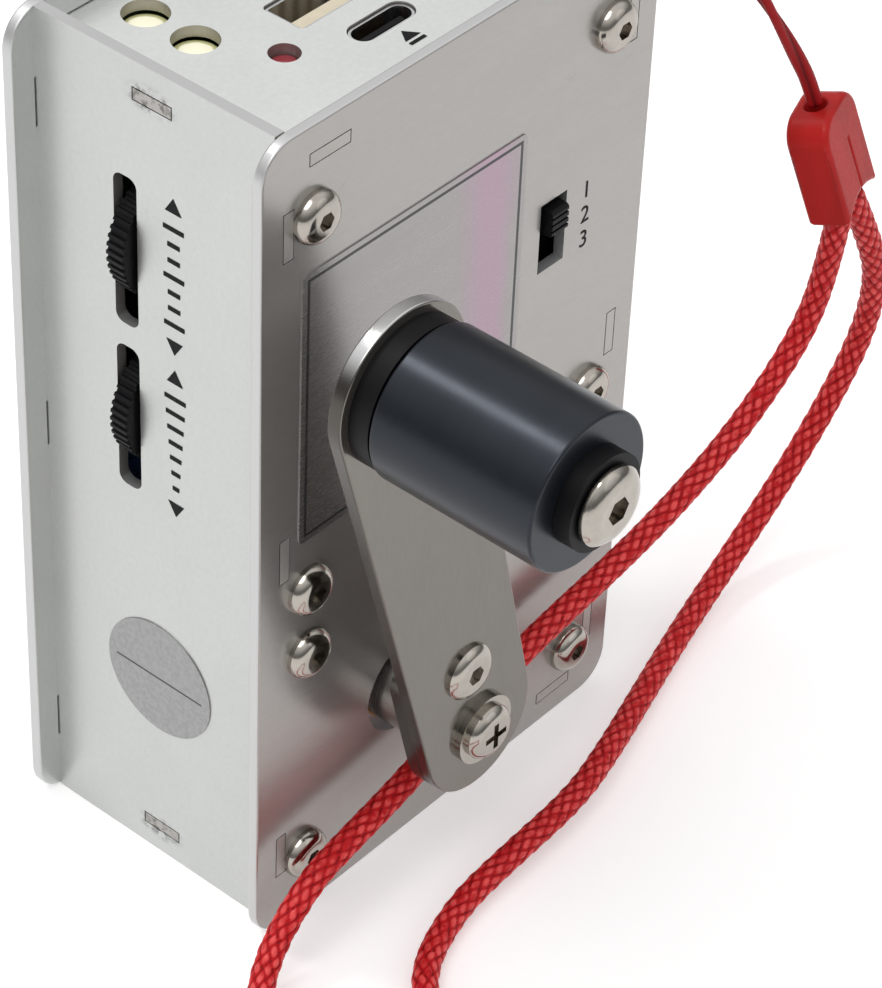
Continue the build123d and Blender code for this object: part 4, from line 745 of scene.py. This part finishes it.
# ---- marks on the case ----
class GENERATOR_OT_marks(bpy.types.Operator):
    """The printed marks: arrows and a graded scale beside each thumbwheel, and numerals at the switch"""
    bl_idname = "generator.marks"
    bl_label = "Printed marks"

    def execute(self, context):
        lift = settings("case").mark_lift
        points = []
        for wheel in ("tuning_wheel", "volume_wheel"):
            low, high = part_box(wheel)
            shapes = self.wheel_scale((low.z + high.z) / 2, wheel == "volume_wheel")
            points += [(LEFT - lift, y, z) for shape in shapes for y, z in shape]
        points += [(x, y, TOP + lift) for x, y in self.socket_arrow()]
        quads = np.arange(len(points)).reshape(-1, 4)[:, ::-1]
        mesh = mesh_from_arrays("wheel_marks", np.array(points), quads.tolist(), smooth=False)
        add_object("wheel_marks", mesh)
        self.numerals(lift)
        dress(ink_material(), "wheel_marks switch_numerals")
        return {"FINISHED"}

    def bar(self, across, along, half_width, half_height):
        """Corners of a bar, anticlockwise."""
        left, right = across - half_width, across + half_width
        low, high = along - half_height, along + half_height
        return [(left, low), (right, low), (right, high), (left, high)]

    def arrow(self, across, tip, base, half_width):
        """Corners of an arrow with its tip twice, anticlockwise where it points up."""
        return [(across, tip), (across, tip), (across - half_width, base), (across + half_width, base)]

    def wheel_scale(self, middle, wedge):
        """An arrow above and below a row of bars; the bars of a wedge grow upwards."""
        depth = FRONT + SCALE_DEPTH
        shapes = []
        for way in (-1, 1):
            tip, base = middle + way * ARROW_TIP, middle + way * ARROW_BASE
            shapes.append(self.arrow(depth, tip, base, way * ARROW_HALF_WIDTH))
        for count in range(SCALE_BARS):
            height = middle + (count - SCALE_BARS // 2) * BAR_STEP
            half = 0.0005 + 0.00018 * count if wedge else (0.0015 if count % 3 == 0 else 0.0009)
            shapes.append(self.bar(depth, height, half, BAR_HALF_THICKNESS))
        return shapes

    def socket_arrow(self):
        """An arrow with a bar at its foot, in front of the smaller socket, pointing into it."""
        low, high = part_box("usb_c_shell")
        middle = (low.x + high.x) / 2
        tip = low.y - 0.0011
        arrow = self.arrow(middle, tip, tip - 0.0017, ARROW_HALF_WIDTH)
        return arrow[::-1] + self.bar(middle, tip - 0.00235, ARROW_HALF_WIDTH, 0.00025)[::-1]

    def numerals(self, lift):
        """Three numerals beside the switch, one for each stop, made a mesh before they are placed."""
        points, corners, count = [], [], 0
        for text, height in NUMERAL_HEIGHTS.items():
            data = bpy.data.curves.new("numeral_" + text, "FONT")
            data.body = text
            data.size = settings("case").mark_height * 1.35
            data.align_x = "CENTER"
            data.align_y = "CENTER"
            mesh = mesh_of_curve(data)
            place = Matrix.Translation((NUMERAL_SIDE, FRONT - lift, height))
            mesh.transform(place @ Matrix.Rotation(math.pi / 2, 4, "X"))
            mesh.calc_loop_triangles()
            points.append(read_values(mesh.vertices, "co"))
            corners.append(read_values(mesh.loop_triangles, "vertices", np.int32) + count)
            count += len(mesh.vertices)
        mesh = mesh_from_arrays("switch_numerals", np.vstack(points), np.vstack(corners).tolist(), False)
        add_object("switch_numerals", mesh)


def ink_material():
    """Screen-printed ink: nearly black, a little broken by pinholes."""
    tone = tuple(settings("case").mark_colour)
    material, g, shader = new_material("printed_ink")
    holes = g.noise(g.place((4200, 4200, 4200)), 1.0, 2.0)
    broken = g.mix(g.ramp(holes, 0.62, 0.78), tone, shade(tone, 6))
    finish(g, shader, broken, g.ramp(holes, 0.3, 0.7, 0.5, 0.65), Specular_IOR_Level=0.1)
    return material


# ---- label and sticker ----
class GENERATOR_OT_labels(bpy.types.Operator):
    """The finishes of the framed label and the round sticker"""
    bl_idname = "generator.labels"
    bl_label = "Labels"

    def execute(self, context):
        dress(label_material(), "rating_label")
        dress(sticker_material(), "round_sticker")
        return {"FINISHED"}


def framed(g, low, high, inset, line):
    """The parts of the coordinates, and 1 on a thin line inset from the edges of a flat box seen along Y."""
    parts = g.parts(g.here())
    edges = []
    for axis in (0, 2):
        away = g.math("ABSOLUTE", g.math("SUBTRACT", parts[axis], (low[axis] + high[axis]) / 2))
        edges.append(g.math("SUBTRACT", away, (high[axis] - low[axis]) / 2))
    nearest = g.math("ADD", g.math("MAXIMUM", edges[0], edges[1]), inset + line / 2)
    return parts, g.ramp(g.math("ABSOLUTE", nearest), line / 2 + 0.00005, line / 2 - 0.00005)


def label_material():
    """Silvery film with a thin black frame, and towards its right side a faint violet sheen painted into its
    colour: a painted reflection.
    """
    low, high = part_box("rating_label")
    material, g, shader = new_material("label_film")
    parts, frame_line = framed(g, low, high, 0.0007, 0.0004)
    dark, light = (0.28, 0.270, 0.262), (0.40, 0.388, 0.380)
    grain = use_grain(g, g.place((600, 600, 6000)), dark, light, 0.8, 0.27, 0.1)
    # Painted reflection: a violet band of sheen towards the right side, fixed in the colour.
    cloud = g.noise(g.place((60, 60, 35)), 1.0, 2.0)
    slant = g.math("ADD", parts[0], g.math("MULTIPLY", g.math("SUBTRACT", cloud, 0.5), 0.012))
    rise = g.ramp(slant, low.x + 0.023, low.x + 0.030)
    sheen = g.math("MULTIPLY", rise, g.ramp(slant, high.x, high.x - 0.004))
    tinted = g.mix(g.math("MULTIPLY", sheen, 0.75), grain["Colour"], (0.42, 0.28, 0.36))
    finish(g, shader, g.mix(frame_line, tinted, (0.015, 0.015, 0.016)), grain["Roughness"])
    g.feed(shader.inputs["Metallic"], g.math("SUBTRACT", 0.85, g.math("MULTIPLY", frame_line, 0.85)))
    bump(g, shader, grain["Height"], 0.15, 0.00001)
    return material


def sticker_material():
    """Silver paper with a thin dividing line across its middle."""
    low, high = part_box("round_sticker")
    material, g, shader = new_material("round_sticker_paper")
    parts = g.parts(g.here())
    away = g.math("ABSOLUTE", g.math("SUBTRACT", parts[2], (low.z + high.z) / 2))
    side = g.math("ABSOLUTE", g.math("SUBTRACT", parts[1], (low.y + high.y) / 2))
    line = g.math("MULTIPLY", g.ramp(away, 0.00016, 0.00010), g.ramp(side, 0.0068, 0.0066))
    paper = g.noise(g.place((1800, 1800, 1800)), 1.0, 3.0)
    tinted = g.mix(g.ramp(paper, 0.3, 0.7), (0.31, 0.31, 0.31), (0.39, 0.39, 0.39))
    rough = g.ramp(paper, 0.3, 0.7, 0.34, 0.48)
    finish(g, shader, g.mix(line, tinted, (0.05, 0.05, 0.05)), rough, Metallic=0.6)
    bump(g, shader, paper, 0.1, 0.00001)
    return material


# ---- lamps and sockets ----
class GENERATOR_OT_lamps(bpy.types.Operator):
    """The lenses of the three lamps and the gilt contacts of the two sockets"""
    bl_idname = "generator.lamps"
    bl_label = "Lamps and sockets"

    crown: length("Crown", 0.0004, "Height of a lens's domed end")
    torch_radius: length("Torch lens", 0.00268, "Radius of a torch lamp's lens")
    charge_radius: length("Charge lens", 0.00178, "Radius of the charge lamp's lens")

    def execute(self, context):
        low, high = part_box("torch_lamps")
        places = [(TORCH_SIDE, low.y + TORCH_FLANGE), (TORCH_SIDE, high.y - TORCH_FLANGE)]
        self.lenses("torch_lenses", places, self.torch_radius, high.z, *TORCH_TINTS)
        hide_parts("torch_lamps")
        low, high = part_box("charge_lamp")
        middle = (low + high) / 2
        self.lenses("charge_lens", [(middle.x, middle.y)], self.charge_radius, high.z, *CHARGE_TINTS)
        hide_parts("charge_lamp")
        self.contacts()
        return {"FINISHED"}

    def lenses(self, name, places, radius, top, cup, body):
        """Turned lenses: a straight side, then z = z0 + c(1 - (r/R)^2.6)^(1/2.6) up to the middle."""
        around = 64
        dome = np.sin(np.linspace(0, np.pi / 2, 24))[::-1]
        crown = top - self.crown + self.crown * np.clip(1 - dome ** 2.6, 0, 1) ** (1 / 2.6)
        share = np.repeat(np.concatenate([[0.97, 1.0], dome]), around)
        height = np.repeat(np.concatenate([[top - 0.0062, top - 0.0060], crown]), around)
        angle = np.resize(np.linspace(0, 2 * np.pi, around, endpoint=False), share.size)
        lens = np.stack([radius * share * np.cos(angle), radius * share * np.sin(angle), height], -1)
        quads = grid_quads(share.size // around, around, wrap=True)
        points = np.vstack([lens + (x, y, 0) for x, y in places])
        faces = np.vstack([quads + count * share.size for count in range(len(places))])
        mesh = mesh_from_arrays(name, points, faces.tolist())
        add_value(mesh, "share", np.tile(share, len(places)))
        add_object(name, mesh)
        dress(lamp_material(name, cup, body), name)

    def contacts(self):
        """Flat gilt strips on the sockets' tongues: four on the larger, twelve on the smaller."""
        points = []
        for tongue, (count, pitch, wide) in CONTACT_ROWS.items():
            low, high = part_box(tongue)
            middle = (low.x + high.x) / 2
            foot, end = low.z + 0.0005, high.z - 0.0006
            corners = [(wide / 2, foot), (-wide / 2, foot), (-wide / 2, end), (wide / 2, end)]
            for place in range(count):
                x = middle + (place - (count - 1) / 2) * pitch
                points += [(x + side, high.y + 0.00005, level) for side, level in corners]
        quads = np.arange(len(points)).reshape(-1, 4)
        mesh = mesh_from_arrays("socket_contacts", np.array(points), quads.tolist(), False)
        piece = add_object("socket_contacts", mesh)
        wall = piece.modifiers.new("wall", "SOLIDIFY")
        wall.thickness = 0.00005
        wall.offset = -1
        gilt = grain_material("gilt_contact", (0.80, 0.56, 0.20), 0.25, 1.0, (900, 900, 4000))
        dress(gilt, "socket_contacts")


def lamp_material(name, cup, body):
    """A moulded lens: the bright cup shows through its middle, and its rim is the lens's own tint. The lens
    also glows faintly with its tint: a painted glow, since the lamp is not lit.
    """
    material, g, shader = new_material(name)
    swirl = g.noise(g.place((500, 500, 500)), 1.0, 2.0)
    rim = g.ramp(g.math("ADD", g.attribute("share"), g.ramp(swirl, 0.2, 0.8, -0.06, 0.06)), 0.66, 0.80)
    tinted = g.mix(rim, cup, body)
    g.feed(shader.inputs["Emission Color"], tinted)
    rough = g.ramp(swirl, 0.3, 0.7, 0.08, 0.16)
    # Painted glow: the lens emits its own tint though the lamp is not lit.
    finish(g, shader, tinted, rough, Emission_Strength=0.22, Coat_Weight=0.6)
    return material


# ---- finishes of the CAD pieces ----
class GENERATOR_OT_finishes(bpy.types.Operator):
    """The finishes of the case, crank, grip and inner parts"""
    bl_idname = "generator.finishes"
    bl_label = "Finishes"

    def execute(self, context):
        case, crank = settings("case"), settings("crank")
        self.sheets(tuple(case.panel_colour), tuple(case.plate_colour), tuple(crank.arm_colour))
        self.crank_parts(tuple(crank.screw_colour), tuple(crank.grip_colour), tuple(crank.black_colour))
        for name, tone, roughness, metallic, stretch, more, nodes in INNER_FINISHES:
            dress(grain_material(name, tone, roughness, metallic, stretch, **more), nodes)
        return {"FINISHED"}

    def sheets(self, panel, plate, arm):
        """The plates, panels and arm: each knows its thin way, so that its cut edges show."""
        satin = (1500, 1500, 1500)
        # Painted shade: the colour of the panels' cut edges that do not face up.
        shaded_tab_end = shade(plate, 1.1)
        dress(sheet_material("front_sheet", plate, (0, 1, 0), 0.24, (700, 700, 2600), 0.25, metallic=0.6),
              "front_plate")
        dress(sheet_material("back_sheet", panel, (0, 1, 0), 0.34, satin, 0.2), "back_plate")
        dress(sheet_material("side_sheet", panel, (1, 0, 0), 0.36, satin, 0.35, shaded_edge_tone=shaded_tab_end,
                             rubbed=True), "left_panel right_panel")
        # The top and bottom panels use the panel colour made lighter: painted light from above.
        dress(sheet_material("end_sheet", shade(panel, 1.5), (0, 0, 1), 0.36, satin, 0.2, shaded_edge_tone=shaded_tab_end,
                             rubbed=True), "top_panel bottom_panel")
        # The arm's cut edges that do not face up are painted dark: painted shade and a painted dark
        # reflection.
        dress(sheet_material("arm_sheet", arm, (0, 1, 0), 0.13, (2400, 900, 500), 0.3, spread=1.4,
                             shaded_edge_tone=shade(arm, 0.45), metallic=0.8), "crank_arm hub_plate")

    def crank_parts(self, screw, grip, black):
        """Screws, grip, shafts, and the black parts of the crank, wheels and switch."""
        dress(grain_material("polished_screw", screw, 0.16, 1.0, (900, 900, 900), spread=1.2, height=0.00001),
              "front_screws back_screws inner_screws arm_screw arm_washer arm_lock_screw grip_bolt")
        dress(turned_material("turned_grip", grip, 0.30, 0.55, GRIP_MIDDLE), "grip")
        dress(turned_material("turned_shaft", (0.42, 0.40, 0.38), 0.28, 1.0, SHAFT_MIDDLE),
              "crank_shaft shaft_clip idler_arbor generator_rotor grip_nut")
        dress(grain_material("black_moulding", black, 0.5, 0.0, (1800, 1800, 1800), spread=1.2,
                             height=0.00003, specular=0.18),
              "grip_collar grip_sleeve tuning_wheel volume_wheel band_switch_slider band_switch_body "
              "tuning_potentiometer volume_potentiometer usb_c_tongue speaker_frame")


# ---- studio ----
class GENERATOR_OT_camera(bpy.types.Operator):
    """The camera, looking down on the crank side and the thumbwheel side"""
    bl_idname = "generator.camera"
    bl_label = "Camera"

    def execute(self, context):
        turn, lift, roll = (math.radians(angle) for angle in (CAMERA_TURN, CAMERA_LIFT, CAMERA_ROLL))
        back = Vector((math.sin(turn) * math.cos(lift), -math.cos(turn) * math.cos(lift), math.sin(lift)))
        right = (-back).cross(Vector((0, 0, 1))).normalized()
        up = right.cross(-back)
        rolled_right = math.cos(roll) * right + math.sin(roll) * up
        rolled_up = math.cos(roll) * up - math.sin(roll) * right
        beside, over, behind = CAMERA_SHIFT
        place = CASE_MIDDLE + (beside * rolled_right + over * rolled_up + behind * back) * CASE_HEIGHT
        data = bpy.data.cameras.new("camera")
        data.lens = settings("studio").lens
        data.sensor_width = 36
        data.sensor_fit = "AUTO"
        data.clip_start = 0.01
        camera = new_object("camera", data)
        basis = Matrix((rolled_right, rolled_up, back)).transposed().to_4x4()
        camera.matrix_world = Matrix.Translation(place) @ basis
        bpy.context.scene.camera = camera
        return {"FINISHED"}


class GENERATOR_OT_stage(bpy.types.Operator):
    """The pale floor, the world and the soft lamps"""
    bl_idname = "generator.stage"
    bl_label = "Studio"

    def execute(self, context):
        choice = settings("studio")
        half = 3.0
        corners = np.array([(-half, -half, 0), (half, -half, 0), (half, half, 0), (-half, half, 0)])
        floor = new_object("floor", mesh_from_arrays("floor", corners, [[0, 1, 2, 3]], False))
        floor.data.materials.append(self.floor_material(tuple(choice.floor_colour)))
        self.world()
        for name, (place, size) in STUDIO_LAMPS.items():
            self.lamp(name, place, size, getattr(choice, name + "_power"))
        bpy.context.scene.view_settings.view_transform = "Standard"
        return {"FINISHED"}

    def lamp(self, name, place, size, energy):
        """A round lamp that faces the case."""
        data = bpy.data.lights.new(name, "AREA")
        data.shape = "DISK"
        data.size = size
        data.energy = energy
        lamp = new_object(name, data)
        lamp.location = place
        lamp.rotation_euler = (Vector((0, 0.01, 0.05)) - Vector(place)).to_track_quat("-Z", "Y").to_euler()

    def floor_material(self, tone):
        """Matt and pale: what the camera and shiny things see of it is lifted towards white."""
        material, g, shader = new_material("studio_floor")
        cloud = g.noise(g.place((3, 3, 3)), 1.0, 2.0)
        clouded = g.mix(cloud, shade(tone, 0.985), shade(tone, 1.015))
        finish(g, shader, clouded, 0.9, Specular_IOR_Level=0.1)
        path = g.add("ShaderNodeLightPath").outputs
        seen = g.math("MAXIMUM", path["Is Camera Ray"], path["Is Glossy Ray"])
        g.feed(shader.inputs["Emission Color"], (1.0, 1.0, 1.0))
        g.feed(shader.inputs["Emission Strength"], g.math("MULTIPLY", seen, 0.36))
        return material

    def world(self):
        """White where it is seen; in reflections, bright overhead and dim round the horizon, as in a room."""
        world = bpy.data.worlds.new("studio_world")
        world.use_nodes = True
        bpy.context.scene.world = world
        g = Graph(world.node_tree)
        path = g.add("ShaderNodeLightPath").outputs
        up = g.parts(g.add("ShaderNodeTexCoord").outputs["Generated"])["Z"]
        room = g.ramp(up, 0.10, 0.80, 0.22, 1.0)
        seen = g.math("MAXIMUM", path["Is Camera Ray"], path["Is Transmission Ray"])
        glossy = g.math("MULTIPLY", path["Is Glossy Ray"], room)
        diffuse = g.math("MULTIPLY", g.math("SUBTRACT", 1.0, path["Is Glossy Ray"]), 0.60)
        background = world.node_tree.nodes["Background"]
        g.feed(background.inputs["Color"], (1.0, 1.0, 1.0))
        g.feed(background.inputs["Strength"], g.math("MAXIMUM", seen, g.math("ADD", glossy, diffuse)))


class GENERATOR_PT_pieces(bpy.types.Panel):
    """Lists the pieces in the sidebar"""
    bl_idname = "GENERATOR_PT_pieces"
    bl_label = "Generator"
    bl_space_type = "VIEW_3D"
    bl_region_type = "UI"
    bl_category = "Generator"

    def draw(self, context):
        for operator in OPERATORS:
            self.layout.operator(operator.bl_idname)
        for name in GROUPS:
            group = settings(name)
            box = self.layout.box()
            for key in group.__annotations__:
                box.prop(group, key)


OPERATORS = [
    GENERATOR_OT_camera, GENERATOR_OT_bead, GENERATOR_OT_strap_string, GENERATOR_OT_strap_loop,
    GENERATOR_OT_finishes, GENERATOR_OT_labels, GENERATOR_OT_marks, GENERATOR_OT_lamps, GENERATOR_OT_stage,
]
GROUPS = {"strap": StrapSettings, "case": CaseSettings, "crank": CrankSettings, "studio": StudioSettings}


def register():
    for name, group in GROUPS.items():
        bpy.utils.register_class(group)
        setattr(bpy.types.Scene, "generator_" + name, PointerProperty(type=group))
    for item in OPERATORS + [GENERATOR_PT_pieces]:
        bpy.utils.register_class(item)


def unregister():
    for item in [GENERATOR_PT_pieces] + OPERATORS[::-1]:
        bpy.utils.unregister_class(item)
    for name, group in GROUPS.items():
        delattr(bpy.types.Scene, "generator_" + name)
        bpy.utils.unregister_class(group)


def main():
    register()
    bpy.ops.generator.camera()
    bpy.ops.generator.bead()
    bpy.ops.generator.strap_string()
    bpy.ops.generator.strap_loop()
    bpy.ops.generator.finishes()
    bpy.ops.generator.labels()
    bpy.ops.generator.marks()
    bpy.ops.generator.lamps()
    bpy.ops.generator.stage()


if __name__ == "__main__":
    main()
